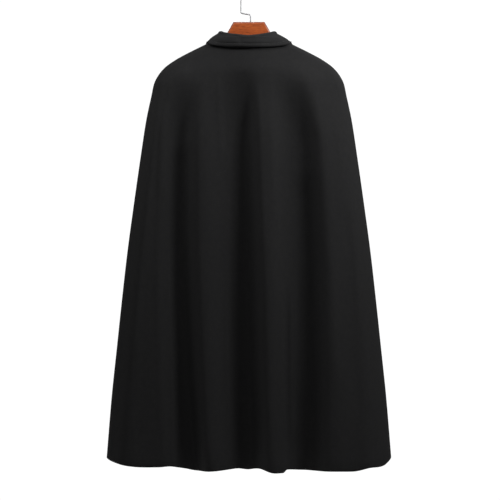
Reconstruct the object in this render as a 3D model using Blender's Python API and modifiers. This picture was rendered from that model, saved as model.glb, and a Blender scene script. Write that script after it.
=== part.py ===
"""A long sleeveless poncho of black coat wool, hanging on its wooden clothes hanger.

Units are metres, +Z is up, and the origin is where a rail bears inside the top of the hook.
The wearer's back faces -Y and the closed front faces +Y. Heights are given as drops, measured
downwards from the origin. Each cloth piece is an open surface, its outer face, thickened inwards.
"""

import math

import bmesh
import bpy
import numpy as np
from mathutils import Vector

NAME = "poncho"

# Cloth, and the gap that sewn pieces keep
CLOTH = 0.002
COLLAR_CLOTH = 0.003
SEAM_GAP = 0.0003
WELD_DISTANCE = 0.00001

# The wire stands to the right of the block's middle, so all the rest lies this far to its left
GARMENT_SHIFT = -0.0040

# Heights along the garment
NECK_POINT_DROP = 0.1185
SHOULDER_END_DROP = 0.2075
CHEST_DROP = 0.312
HEM_CORNER_DROP = 1.114

# Rows of the cloth grid in each stretch: from, to, how many
ROW_STRETCHES = (
    (NECK_POINT_DROP, SHOULDER_END_DROP, 10),
    (SHOULDER_END_DROP, CHEST_DROP, 5),
    (CHEST_DROP, HEM_CORNER_DROP, 15),
)

# The garment's outline and fullness
# drop: height of the section; half_width: from the middle to the shoulder and side seam;
# depth: from the seam's plane to the middle of the back or front; roll: how softly the side turns
SECTION_COLUMNS = ("drop", "half_width", "depth", "roll")
SECTIONS = (
    (0.1185, 0.0760, 0.044, 0.0125),
    (0.1305, 0.0995, 0.044, 0.0125),
    (0.1500, 0.1390, 0.044, 0.0130),
    (0.1695, 0.1750, 0.044, 0.0140),
    (0.1885, 0.2010, 0.044, 0.0150),
    (0.2075, 0.2166, 0.044, 0.0165),
    (0.2265, 0.2260, 0.045, 0.0180),
    (0.2550, 0.2322, 0.047, 0.0200),
    (0.3120, 0.2443, 0.050, 0.0240),
    (0.4000, 0.2578, 0.055, 0.0300),
    (0.5120, 0.2738, 0.060, 0.0360),
    (0.6260, 0.2892, 0.065, 0.0410),
    (0.7410, 0.3023, 0.070, 0.0460),
    (0.8550, 0.3144, 0.075, 0.0500),
    (0.9690, 0.3264, 0.079, 0.0540),
    (1.1140, 0.3384, 0.085, 0.0580),
)
CROWN_REACH = 0.11
NECK_SWELL = 0.014
NECK_SWELL_WIDTH = 0.060
NECK_SWELL_HEIGHT = 0.080
NECK_SWELL_DROP = 0.130

# How far the middle of a row hangs below its two ends, on the back and on the front
DIP_COLUMNS = ("end_drop", "back", "front")
DIPS = (
    (0.1185, 0.0190, 0.0765),
    (0.1600, 0.0270, 0.0700),
    (0.2075, 0.0300, 0.0600),
    (0.3120, 0.0240, 0.0420),
    (0.5120, 0.0160, 0.0240),
    (1.1140, 0.0130, 0.0130),
)
BACK_NECK_SHAPE = 1.0
FRONT_NECK_SHAPE = 0.75
HEM_SHAPE = 0.6

# Folds that fall from the shoulders to the hem
# x_top and x_hem: sideways place at the chest and at the hem; out_top and out_hem: how far the fold
# stands out of the panel, negative in a trough; hem_dip: how much lower its hem hangs; columns:
# grid columns between it and the fold before
FOLD_START_DROP = 0.19
FOLD_TOP_DROP = 0.36
FOLD_SIDE_FADE = 0.045
HEM_DIP_START = 0.93
FOLD_COLUMNS = ("name", "x_top", "x_hem", "out_top", "out_hem", "hem_dip", "columns")
BACK_FOLDS = (
    ("left side plateau", -0.229, -0.296, 0.014, 0.014, -0.001, 6),
    ("left plateau", -0.211, -0.204, 0.006, 0.004, -0.002, 4),
    ("left trough", -0.160, -0.130, -0.020, -0.034, 0.007, 5),
    ("left inner ridge", -0.114, -0.091, 0.009, 0.020, 0.005, 4),
    ("middle trough", -0.010, 0.002, -0.020, -0.034, 0.004, 6),
    ("right inner ridge", 0.029, 0.052, 0.016, 0.032, 0.008, 5),
    ("right trough", 0.122, 0.133, -0.018, -0.018, 0.010, 5),
    ("right ridge", 0.174, 0.192, 0.014, 0.032, 0.006, 5),
    ("right side", 0.222, 0.262, 0.005, 0.017, 0.009, 4),
)
FRONT_FOLDS = (
    ("left side ridge", -0.222, -0.268, 0.010, 0.022, 0.003, 6),
    ("left side trough", -0.170, -0.200, -0.016, -0.028, 0.004, 4),
    ("left ridge", -0.112, -0.128, 0.012, 0.027, 0.004, 4),
    ("left inner trough", -0.066, -0.074, -0.009, -0.020, 0.002, 4),
    ("left front edge", -0.028, -0.028, 0.004, 0.010, 0.002, 3),
    ("right front edge", 0.030, 0.030, 0.004, 0.010, 0.002, 2),
    ("right inner trough", 0.082, 0.092, -0.014, -0.026, 0.002, 4),
    ("right ridge", 0.136, 0.154, 0.013, 0.029, 0.005, 4),
    ("right side trough", 0.190, 0.216, -0.013, -0.024, 0.003, 4),
    ("right side ridge", 0.226, 0.276, 0.009, 0.020, 0.003, 4),
)
SIDE_COLUMNS = 6
SIDE_FLAT = 0.0008

# Closed front: the wearer's left edge, at -X, laps over the right one
FRONT_LAP = 0.018
LAP_LIFT = 0.00125
LAP_FADE = 0.040
LAP_COLUMNS = 2

# Collar, turned down all round: angle 0 is the middle of the back, 90 the shoulder
# roll_drop: height of its folded top; edge_x and edge_drop: the place on the panel below its free
# edge; stand_off: how far the edge stands off the panel there
COLLAR_STEPS = 44
COLLAR_END_ANGLE = 171.0
ROLL_HALF_WIDTH = 0.0635
ROLL_SHIFT = -0.0022
ROLL_DEPTH_BACK = 0.034
ROLL_DEPTH_FRONT = 0.050
ROLL_RADIUS = 0.0045
STAND_SEAM_LIFT = 0.0011
ROLL_BENDS = (50, 90, 130)
FALL_CROWN = 0.003
FALL_CROWN_AT_SIDES = 0.35
FALL_PARTS = (0.33, 0.67)
FALL_CLEARANCE = 0.0010
FALL_SEAM_MARGIN = 0.003
LEAST_FACING = 0.4
COLLAR_COLUMNS = ("angle", "roll_drop", "edge_x", "edge_drop", "stand_off")
COLLAR = (
    (0.0, 0.1150, 0.0000, 0.1422, 0.0018),
    (30.0, 0.1125, 0.0460, 0.1416, 0.0018),
    (60.0, 0.1060, 0.0830, 0.1386, 0.0014),
    (78.0, 0.1025, 0.0962, 0.1325, 0.0012),
    (90.0, 0.1025, 0.0982, 0.1297, 0.0010),
    (104.0, 0.1075, 0.1030, 0.1405, 0.0014),
    (122.0, 0.1220, 0.1020, 0.1700, 0.0014),
    (142.0, 0.1470, 0.0880, 0.2090, 0.0014),
    (171.0, 0.1780, 0.0540, 0.2480, 0.0014),
)

# Neck button
BUTTON_DROP = 0.222
BUTTON_RADIUS = 0.011
BUTTON_THICK = 0.0036
BUTTON_RIM = 0.0018
BUTTON_WELL = 0.0009
BUTTON_WELL_SLOPE = 0.0012
BUTTON_ROUNDING = 0.0008
BUTTON_HOLE_RADIUS = 0.0011
BUTTON_HOLE_SPACING = 0.0019
BUTTON_STAND_OFF = 0.0006
BUTTON_STEPS = 28

# Hanger: a flat wooden wishbone with a raised block, and a steel wire hook
WOOD_THICK = 0.012
WOOD_EDGE = 0.0050
WOOD_CLEARANCE = 0.0008
WOOD_SHARP_ANGLE = 50.0
BLOCK_TOP_DROP = 0.079
ARM_START_DROP = 0.1190
ARM_TIP_DROP = 0.2080
ARM_TIP_RADIUS = 0.009
ARM_STEPS = 14
ARM_TIP_STEPS = 7
UNDERSIDE_SLOPE = 28.0
UNDERSIDE_STEPS = 12
# sideways place and height of the block's slope, then of the underside from the middle outwards
BLOCK_SLOPE = ((0.0370, 0.0790), (0.0495, 0.1005), (0.0535, 0.1085), (0.0600, 0.1160), (0.0715, 0.1208))
UNDERSIDE = ((0.0, 0.140), (0.050, 0.148), (0.100, 0.166), (0.150, 0.190))
WIRE = 0.0036
HOOK_INNER_RADIUS = 0.021
HOOK_JOG_DROP = 0.0612
HOOK_JOG_RISE = 0.0025
HOOK_BEND = 0.004
HOOK_SWEEP = 178.0
HOOK_TIP = 0.004
HOOK_TIP_TAPER_START = 0.8
HOOK_TIP_SIZE = 0.45
HOOK_ARC_STEPS = 18
HOOK_BEND_STEPS = 4
SOCKET_DEPTH = 0.022
SOCKET_CLEARANCE = 0.0004

MATERIALS = {
    "black wool": ((0.012, 0.012, 0.0125), 0.92, 0.0),
    "black front wool": ((0.012, 0.012, 0.0125), 0.92, 0.0),
    "black collar wool": ((0.014, 0.014, 0.0145), 0.90, 0.0),
    "black button": ((0.010, 0.010, 0.011), 0.35, 0.0),
    "varnished wood": ((0.36, 0.088, 0.020), 0.30, 0.0),
    "steel wire": ((0.58, 0.58, 0.60), 0.28, 1.0),
}

CUTTERS = []


def smooth_curve(places, values, at):
    """A curve through the values at the places that never swings past them."""
    places = np.asarray(places, float)
    values = np.asarray(values, float)
    at = np.clip(np.asarray(at, float), places[0], places[-1])
    step = np.diff(places)
    rise = np.diff(values) / step
    slope = np.zeros_like(values)
    slope[0], slope[-1] = rise[0], rise[-1]
    turning = rise[:-1] * rise[1:] <= 0
    total = np.where(turning, 1.0, rise[:-1] + rise[1:])
    slope[1:-1] = np.where(turning, 0.0, 2 * rise[:-1] * rise[1:] / total)
    part = np.clip(np.searchsorted(places, at, side="right") - 1, 0, len(step) - 1)
    f = (at - places[part]) / step[part]
    start = values[part] * (1 + 2 * f) * (1 - f) ** 2
    end = values[part + 1] * (3 - 2 * f) * f**2
    lean = slope[part] * f * (1 - f) ** 2 - slope[part + 1] * f**2 * (1 - f)
    return start + end + step[part] * lean


def column(rows, columns, name):
    """One named column of a table."""
    return [row[columns.index(name)] for row in rows]


def section(name, drop):
    """A value of the section table at any height."""
    drops = column(SECTIONS, SECTION_COLUMNS, "drop")
    return smooth_curve(drops, column(SECTIONS, SECTION_COLUMNS, name), drop)


def ease(value):
    """0 to 1 with a soft start and a soft end."""
    value = np.clip(value, 0.0, 1.0)
    return value * value * (3 - 2 * value)


def quarter_round(value):
    """The rise of a quarter circle: steep at 0, level at 1 and beyond."""
    return np.sqrt(1 - (1 - np.clip(value, 0.0, 1.0)) ** 2)


def seam_slant(drop):
    """How much of a level distance to the seam is a distance square to it."""
    reach = 0.02
    widening = (section("half_width", drop + reach) - section("half_width", drop - reach)) / (2 * reach)
    return 1 / np.sqrt(1 + widening**2)


def fall_share(drop):
    """0 at the chest, where the folds are formed, to 1 at the hem's corners."""
    return (drop - FOLD_TOP_DROP) / (HEM_CORNER_DROP - FOLD_TOP_DROP)


def fold_lines(drop, folds):
    """Where each fold runs at a height. Above the chest it keeps its share of the half width."""
    down = np.maximum(fall_share(drop), 0)
    share_top = np.array(column(folds, FOLD_COLUMNS, "x_top")) / section("half_width", FOLD_TOP_DROP)
    share_hem = np.array(column(folds, FOLD_COLUMNS, "x_hem")) / section("half_width", HEM_CORNER_DROP)
    half_width = section("half_width", drop)
    return [(top + (hem - top) * down) * half_width for top, hem in zip(share_top, share_hem)]


def fold_wave(x, drop, folds, values="out"):
    """How far the folds stand out at x, as a smooth wave through the crests and troughs."""
    half_width = section("half_width", drop)
    down = np.clip(fall_share(drop), 0, 1)
    if values == "out":
        begin = ease((drop - FOLD_START_DROP) / (FOLD_TOP_DROP - FOLD_START_DROP))
    else:
        begin = ease((drop - HEM_DIP_START) / (HEM_CORNER_DROP - HEM_DIP_START))
    places = [-half_width]
    heights = [np.zeros_like(half_width)]
    for row, place in zip(folds, fold_lines(drop, folds)):
        fold = dict(zip(FOLD_COLUMNS, row))
        places.append(place)
        if values == "out":
            height = fold["out_top"] + (fold["out_hem"] - fold["out_top"]) * down
        else:
            height = fold["hem_dip"]
        heights.append(begin * height)
    places.append(half_width)
    heights.append(np.zeros_like(half_width))
    wave = np.zeros_like(x + drop)
    for k in range(len(places) - 1):
        gap = np.maximum(places[k + 1] - places[k], 1e-6)
        f = (x - places[k]) / gap
        rounded = (1 - np.cos(np.pi * np.clip(f, 0, 1))) / 2
        inside = (f >= 0) & (f < 1)
        wave = np.where(inside, heights[k] + (heights[k + 1] - heights[k]) * rounded, wave)
    return wave


def panel_depth(x, drop, folds):
    """How far a panel's outer face lies from the plane of the shoulder and side seams."""
    half_width = section("half_width", drop)
    slant = seam_slant(drop)
    to_seam = np.maximum(half_width - np.abs(x), 0.0) * slant
    to_seam_crowned = np.maximum(half_width**2 - x**2, 0.0) / (2 * half_width) * slant
    roll = section("roll", drop)
    turned = roll * quarter_round(to_seam / roll)
    crown = np.sin(np.pi / 2 * np.clip(to_seam_crowned / CROWN_REACH, 0, 1))
    crowned = (section("depth", drop) - roll) * crown
    neck = np.exp(-((x / NECK_SWELL_WIDTH) ** 2) - ((drop - NECK_SWELL_DROP) / NECK_SWELL_HEIGHT) ** 2)
    swell = NECK_SWELL * neck * quarter_round(to_seam / roll)
    folded = fold_wave(x, drop, folds) * ease(to_seam / FOLD_SIDE_FADE)
    return turned + crowned + swell + folded


def row_drop(end_drop, x, side):
    """The drop of a row's point at x, for a row whose ends lie on the seam at end_drop."""
    across = np.clip(x / section("half_width", end_drop), -1, 1)
    shape = BACK_NECK_SHAPE if side == "back" else FRONT_NECK_SHAPE
    shape = shape + (HEM_SHAPE - shape) * ease(fall_share(end_drop))
    folds = BACK_FOLDS if side == "back" else FRONT_FOLDS
    dip = smooth_curve(column(DIPS, DIP_COLUMNS, "end_drop"), column(DIPS, DIP_COLUMNS, side), end_drop)
    return end_drop + dip * (1 - across**2) ** shape + fold_wave(x, end_drop, folds, "hem_dip")


def end_drops():
    """The heights at which the rows of the cloth meet the seam."""
    drops = [ROW_STRETCHES[0][0]]
    for start, end, count in ROW_STRETCHES:
        drops += [start + (end - start) * (k + 1) / count for k in range(count)]
    return np.array(drops)


def lap_lift(x, side):
    """The upper front rides over the lower one where they lap."""
    towards_lap = x if side == "front_left" else -x
    lift = LAP_LIFT * ease((towards_lap + FRONT_LAP + LAP_FADE) / LAP_FADE)
    return lift if side == "front_left" else -lift


def grid_object(name, points, facing, thickness, offset):
    """A grid of points made a smooth sheet, its faces towards facing, then given its thickness."""
    rows, columns = points.shape[:2]
    mesh = bpy.data.meshes.new(name)
    shape = bmesh.new()
    verts = [[shape.verts.new(points[r, c]) for c in range(columns)] for r in range(rows)]
    for r in range(rows - 1):
        for c in range(columns - 1):
            shape.faces.new((verts[r][c], verts[r][c + 1], verts[r + 1][c + 1], verts[r + 1][c]))
    shape.normal_update()
    if sum(face.normal.dot(facing) * face.calc_area() for face in shape.faces) < 0:
        bmesh.ops.reverse_faces(shape, faces=shape.faces[:])
    shape.to_mesh(mesh)
    shape.free()
    mesh.shade_smooth()
    obj = bpy.data.objects.new(name, mesh)
    wall = obj.modifiers.new("cloth thickness", "SOLIDIFY")
    wall.thickness = thickness
    wall.offset = offset
    wall.use_even_offset = True
    return obj


def column_places(side, end_drop):
    """Where the grid's columns cross a row: on the fold lines and between them, closer at the seam."""
    half = float(section("half_width", end_drop))
    folds = BACK_FOLDS if side == "back" else FRONT_FOLDS
    places = [float(place) for place in fold_lines(end_drop, folds)]
    counts = column(folds, FOLD_COLUMNS, "columns")
    if side == "back":
        stops = [-half] + places + [half]
        counts = [SIDE_COLUMNS] + counts[1:] + [SIDE_COLUMNS]
    elif side == "front_left":
        middle = sum(1 for place in places if place < 0)
        stops = [-half] + places[:middle] + [FRONT_LAP]
        counts = [SIDE_COLUMNS] + counts[1:middle] + [LAP_COLUMNS]
    else:
        middle = sum(1 for place in places if place < 0)
        stops = [half] + places[:middle - 1:-1] + [-FRONT_LAP]
        counts = [SIDE_COLUMNS] + counts[:middle:-1] + [LAP_COLUMNS]
    across = [stops[0]]
    for k, count in enumerate(counts):
        start, end = stops[k], stops[k + 1]
        for step in range(1, count + 1):
            part = step / count
            if k == 0:
                part = part**2
            elif side == "back" and k == len(counts) - 1:
                part = 1 - (1 - part) ** 2
            across.append(start + (end - start) * part)
    return np.array(across)


def panel_points(side):
    """The outer face of a panel, row by row, with a flat strip along the seam."""
    facing = -1 if side == "back" else 1
    folds = BACK_FOLDS if side == "back" else FRONT_FOLDS
    points = []
    for end_drop in end_drops():
        x = column_places(side, end_drop)
        drop = row_drop(end_drop, x, "back" if side == "back" else "front")
        depth = SEAM_GAP / 2 + SIDE_FLAT + panel_depth(x, drop, folds)
        if side != "back":
            depth = depth + lap_lift(x, side)
        row = [(x[0], facing * SEAM_GAP / 2, -drop[0])]
        row += [(place, facing * out, -down) for place, out, down in zip(x, depth, drop)]
        if side == "back":
            row.append((x[-1], facing * SEAM_GAP / 2, -drop[-1]))
        points.append(row)
    return np.array(points)


def make_back():
    return grid_object("back", panel_points("back"), (0, -1, 0), CLOTH, -1)


def make_front(side):
    return grid_object(side, panel_points(side), (0, 1, 0), CLOTH, -1)


def neckline(angle):
    """The middle of the cloth at the neckline seam, at an angle round the neck."""
    half = section("half_width", NECK_POINT_DROP)
    x = half * math.sin(math.radians(angle))
    at_back = abs(angle) < 90
    drop = row_drop(NECK_POINT_DROP, x, "back" if at_back else "front")
    depth = SIDE_FLAT + panel_depth(x, drop, BACK_FOLDS if at_back else FRONT_FOLDS) - CLOTH / 2
    inside = (half - CLOTH / 2) / half
    return np.array([x * inside, -depth if at_back else depth, -float(drop)])


def panel_point(x, drop, at_back):
    """A point of a panel's outer face, without the lap's lift."""
    depth = SIDE_FLAT + float(panel_depth(x, drop, BACK_FOLDS if at_back else FRONT_FOLDS))
    return np.array([x, -depth if at_back else depth, -drop])


def panel_normal(x, drop, at_back):
    """The outward direction of a panel's outer face. On the seam it lies in the seam's plane."""
    half_width = float(section("half_width", drop))
    near = 0.0004
    x = math.copysign(min(abs(x), half_width - 2 * near), x)
    side = panel_point(x + near, drop, at_back) - panel_point(x - near, drop, at_back)
    down = panel_point(x, drop + near, at_back) - panel_point(x, drop - near, at_back)
    normal = np.cross(side, down)
    normal /= np.linalg.norm(normal)
    outward = -1 if at_back else 1
    return normal if normal[1] * outward > 0 else -normal


def collar_value(name, angle):
    places = column(COLLAR, COLLAR_COLUMNS, "angle")
    return float(smooth_curve(places, column(COLLAR, COLLAR_COLUMNS, name), abs(angle)))


def collar_edge(angle):
    """The collar's free edge: a line on the panels, moved out along their normals."""
    x = math.copysign(collar_value("edge_x", angle), angle)
    drop = collar_value("edge_drop", angle)
    at_back = abs(angle) < 90
    out = COLLAR_CLOTH / 2 + collar_value("stand_off", angle)
    return panel_point(x, drop, at_back) + out * panel_normal(x, drop, at_back)


def clear_of_panel(point, at_back):
    """Moves a point of the collar's fall out to where it clears the panel beneath it."""
    x, y, z = point
    if abs(x) >= float(section("half_width", -z)) - FALL_SEAM_MARGIN or -z < NECK_POINT_DROP:
        return point
    facing = max(abs(panel_normal(x, -z, at_back)[1]), LEAST_FACING)
    least = abs(panel_point(x, -z, at_back)[1]) + (COLLAR_CLOTH / 2 + FALL_CLEARANCE) / facing
    softness = 0.002
    depth = (abs(y) + least + math.hypot(abs(y) - least, softness)) / 2
    return np.array([x, math.copysign(depth, y), z])


def fall_crown(turn):
    """How far the fall bows out, less at the shoulders."""
    return FALL_CROWN * (FALL_CROWN_AT_SIDES + (1 - FALL_CROWN_AT_SIDES) * abs(math.cos(turn)))


def make_collar():
    """A strip round the neck: up from the neckline, over the roll and down to its free edge."""
    up = np.array([0.0, 0.0, 1.0])
    points = []
    for angle in np.linspace(-COLLAR_END_ANGLE, COLLAR_END_ANGLE, COLLAR_STEPS + 1):
        turn = math.radians(angle)
        at_back = abs(angle) < 90
        away = np.array([math.sin(turn), -math.cos(turn), 0.0])
        roll_depth = ROLL_DEPTH_BACK if at_back else ROLL_DEPTH_FRONT
        top = np.array([ROLL_SHIFT + ROLL_HALF_WIDTH * math.sin(turn), -roll_depth * math.cos(turn), 0.0])
        centre = top - (collar_value("roll_drop", angle) + ROLL_RADIUS) * up
        foot = neckline(angle) + STAND_SEAM_LIFT * up
        edge = collar_edge(angle)
        inner = centre - ROLL_RADIUS * away
        outer = centre + ROLL_RADIUS * away
        strip = [foot, (foot + inner) / 2, inner]
        for bend in ROLL_BENDS:
            lean = math.radians(bend)
            strip.append(centre + ROLL_RADIUS * (math.sin(lean) * up - math.cos(lean) * away))
        strip.append(outer)
        for part in FALL_PARTS:
            crown = fall_crown(turn) * math.sin(math.pi * part) * away
            strip.append(clear_of_panel(outer + (edge - outer) * part + crown, at_back))
        strip.append(edge)
        points.append(strip)
    return grid_object("collar", np.array(points), (0, 0, 1), COLLAR_CLOTH, 0)


def make_button():
    """A turned coat button with a raised rim and four sewing holes, on the neck of the left front."""
    half = BUTTON_THICK / 2
    well = half - BUTTON_WELL
    profile = (
        (0.0, well),
        (BUTTON_RADIUS - BUTTON_RIM - BUTTON_WELL_SLOPE, well),
        (BUTTON_RADIUS - BUTTON_RIM, half),
        (BUTTON_RADIUS - BUTTON_ROUNDING, half),
        (BUTTON_RADIUS, half - BUTTON_ROUNDING),
        (BUTTON_RADIUS, BUTTON_ROUNDING - half),
        (BUTTON_RADIUS - BUTTON_ROUNDING, -half),
        (0.0, -half),
    )
    mesh = bpy.data.meshes.new("button")
    mesh.from_pydata([(r, 0.0, z) for r, z in profile], [(k, k + 1) for k in range(len(profile) - 1)], [])
    button = bpy.data.objects.new("button", mesh)
    turned = button.modifiers.new("turned", "SCREW")
    turned.axis = "Z"
    turned.steps = BUTTON_STEPS
    turned.render_steps = BUTTON_STEPS
    turned.use_merge_vertices = True
    turned.merge_threshold = WELD_DISTANCE
    turned.use_smooth_shade = False
    for k in range(4):
        quarter = math.radians(45 + 90 * k)
        cutter = cylinder("button hole %d" % (k + 1), BUTTON_HOLE_RADIUS, 3 * BUTTON_THICK, 10)
        cutter.location = BUTTON_HOLE_SPACING * Vector((math.cos(quarter), math.sin(quarter), 0.0))
        cutter.parent = button
        cut = button.modifiers.new("sewing hole", "BOOLEAN")
        cut.operation = "DIFFERENCE"
        cut.solver = "EXACT"
        cut.object = cutter
        CUTTERS.append(cutter)
    surface = panel_point(0.0, BUTTON_DROP, False)
    normal = Vector(panel_normal(0.0, BUTTON_DROP, False))
    lift = LAP_LIFT + BUTTON_STAND_OFF + half
    button.rotation_euler = normal.to_track_quat("Z", "Y").to_euler()
    button.location = Vector(surface) + lift * normal
    return button


def cylinder(name, radius, height, sides):
    mesh = bpy.data.meshes.new(name)
    shape = bmesh.new()
    bmesh.ops.create_cone(
        shape, cap_ends=True, segments=sides, radius1=radius, radius2=radius, depth=height
    )
    shape.to_mesh(mesh)
    shape.free()
    return bpy.data.objects.new(name, mesh)


def hanger_half_outline():
    """The wood's outline on the +X side, from the top of the block round the arm to the underside."""
    outline = list(BLOCK_SLOPE)
    inset = CLOTH + WOOD_CLEARANCE
    for k in range(ARM_STEPS + 1):
        drop = ARM_START_DROP + (ARM_TIP_DROP - ARM_START_DROP) * k / ARM_STEPS
        slant = float(seam_slant(drop))
        half = float(section("half_width", drop))
        fall = math.sqrt(max(1 - slant**2, 0.0))
        outline.append((half - inset * slant, drop + inset * fall))
    (x0, d0), (x1, d1) = outline[-2:]
    heading = math.atan2(d1 - d0, x1 - x0)
    centre = (x1 - ARM_TIP_RADIUS * math.sin(heading), d1 + ARM_TIP_RADIUS * math.cos(heading))
    under_from = math.radians(180 + UNDERSIDE_SLOPE)
    for k in range(1, ARM_TIP_STEPS + 1):
        now = heading + (under_from - heading) * k / ARM_TIP_STEPS
        x = centre[0] + ARM_TIP_RADIUS * math.sin(now)
        outline.append((x, centre[1] - ARM_TIP_RADIUS * math.cos(now)))
    tip_x, tip_drop = outline[-1]
    places = [x for x, _ in UNDERSIDE] + [tip_x]
    heights = [d for _, d in UNDERSIDE] + [tip_drop]
    for k in range(UNDERSIDE_STEPS - 1, 0, -1):
        x = tip_x * k / UNDERSIDE_STEPS
        outline.append((x, float(smooth_curve(places, heights, x))))
    return outline


def make_hanger():
    """The wooden hanger: its outline filled and given its thickness, edges rounded, bored for the hook."""
    right = hanger_half_outline()
    middle = (0.0, UNDERSIDE[0][1])
    outline = right + [middle] + [(-x, drop) for x, drop in reversed(right)]
    curve = bpy.data.curves.new("hanger outline", "CURVE")
    curve.dimensions = "2D"
    curve.fill_mode = "BOTH"
    curve.extrude = WOOD_THICK / 2 - WOOD_EDGE
    curve.bevel_depth = WOOD_EDGE
    curve.offset = -WOOD_EDGE
    curve.bevel_resolution = 1
    spline = curve.splines.new("POLY")
    spline.points.add(len(outline) - 1)
    for point, (x, drop) in zip(spline.points, outline):
        point.co = (x, -drop, 0.0, 1.0)
    spline.use_cyclic_u = True
    guide = bpy.data.objects.new("hanger outline", curve)
    guide.rotation_euler = (math.radians(90), 0.0, 0.0)
    hanger = meshed(guide, "hanger")
    hanger.data.shade_smooth()
    hanger.data.set_sharp_from_angle(angle=math.radians(WOOD_SHARP_ANGLE))
    bore = cylinder("hook socket cutter", WIRE / 2 + SOCKET_CLEARANCE, 2 * SOCKET_DEPTH, 12)
    bore.location = (0.0, 0.0, -BLOCK_TOP_DROP)
    cut = hanger.modifiers.new("hook socket", "BOOLEAN")
    cut.operation = "DIFFERENCE"
    cut.solver = "EXACT"
    cut.object = bore
    CUTTERS.append(bore)
    return hanger


def meshed(guide, name):
    """A curve object made a mesh object, its caps welded and its place kept."""
    bpy.context.scene.collection.objects.link(guide)
    bpy.context.view_layer.update()
    graph = bpy.context.evaluated_depsgraph_get()
    mesh = bpy.data.meshes.new_from_object(guide.evaluated_get(graph))
    mesh.name = name
    shape = bmesh.new()
    shape.from_mesh(mesh)
    bmesh.ops.remove_doubles(shape, verts=shape.verts[:], dist=WELD_DISTANCE)
    bmesh.ops.recalc_face_normals(shape, faces=shape.faces[:])
    shape.to_mesh(mesh)
    shape.free()
    made = bpy.data.objects.new(name, mesh)
    made.matrix_world = guide.matrix_world.copy()
    bpy.data.objects.remove(guide, do_unlink=True)
    return made


def arc(centre, radius, start, end, steps):
    """Points along an arc in the hanger's plane. Angles are from +X, turning up."""
    turns = [math.radians(start + (end - start) * k / steps) for k in range(steps + 1)]
    return [(centre[0] + radius * math.cos(t), centre[1] + radius * math.sin(t)) for t in turns]


def make_hook():
    """The wire: up from the block, a jog to the left, up, and over in a round hook."""
    radius = HOOK_INNER_RADIUS + WIRE / 2
    foot = -(BLOCK_TOP_DROP + SOCKET_DEPTH - SOCKET_CLEARANCE - 0.001)
    jog = -HOOK_JOG_DROP
    path = [(0.0, foot), (0.0, (foot + jog) / 2)]
    path += arc((-HOOK_BEND, jog - HOOK_BEND), HOOK_BEND, 0, 90, HOOK_BEND_STEPS)
    path += arc((-radius + HOOK_BEND, jog + HOOK_JOG_RISE + HOOK_BEND), HOOK_BEND, 270, 180, HOOK_BEND_STEPS)
    path += arc((0.0, -HOOK_INNER_RADIUS), radius, 180, 180 - HOOK_SWEEP, HOOK_ARC_STEPS)
    end = math.radians(180 - HOOK_SWEEP)
    tip = (path[-1][0] + HOOK_TIP * math.sin(end), path[-1][1] - HOOK_TIP * math.cos(end))
    taper = tuple(a + HOOK_TIP_TAPER_START * (b - a) for a, b in zip(path[-1], tip))
    path += [taper, tip]
    curve = bpy.data.curves.new("hook", "CURVE")
    curve.dimensions = "3D"
    curve.bevel_depth = WIRE / 2
    curve.bevel_resolution = 2
    curve.use_fill_caps = True
    spline = curve.splines.new("POLY")
    spline.points.add(len(path) - 1)
    for point, (x, z) in zip(spline.points, path):
        point.co = (x, 0.0, z, 1.0)
    spline.points[-1].radius = HOOK_TIP_SIZE
    return bpy.data.objects.new("hook", curve)


def material(name):
    colour, roughness, metallic = MATERIALS[name]
    made = bpy.data.materials.new(name)
    made.use_nodes = True
    shader = made.node_tree.nodes["Principled BSDF"]
    shader.inputs["Base Color"].default_value = (*colour, 1.0)
    shader.inputs["Roughness"].default_value = roughness
    shader.inputs["Metallic"].default_value = metallic
    made.diffuse_color = (*colour, 1.0)
    return made


def build():
    for old in list(bpy.data.objects):
        bpy.data.objects.remove(old, do_unlink=True)
    parts = bpy.data.collections.new(NAME)
    cutters = bpy.data.collections.new("cutters")
    bpy.context.scene.collection.children.link(parts)
    bpy.context.scene.collection.children.link(cutters)
    cutters.hide_render = True
    pieces = (
        (make_back(), "black wool"),
        (make_front("front_left"), "black front wool"),
        (make_front("front_right"), "black front wool"),
        (make_collar(), "black collar wool"),
        (make_button(), "black button"),
        (make_hanger(), "varnished wood"),
        (make_hook(), "steel wire"),
    )
    finishes = {name: material(name) for name in MATERIALS}
    for obj, finish in pieces:
        parts.objects.link(obj)
        obj.data.materials.append(finishes[finish])
        if obj.name != "hook":
            obj.location.x += GARMENT_SHIFT
    for cutter in CUTTERS:
        cutters.objects.link(cutter)
        cutter.hide_render = True
        cutter.display_type = "WIRE"


build()
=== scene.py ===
# %% [markdown]
# # A long wool poncho on its wooden hanger
#
# The real object is a sleeveless poncho, or cape, of thick black milled wool. It hangs on a flat
# wooden hanger with a wire hook, and the photo looks straight at the wearer's back. This lesson
# dresses the plain solids of the frame: every cloth piece is made again as a fine thin shell on
# the same formulas, with softer and smaller folds, and gets a wool finish with a nap.

# %% Load the frame
import math

import bmesh
import bpy
import numpy as np
from mathutils import Matrix, Vector


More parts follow.
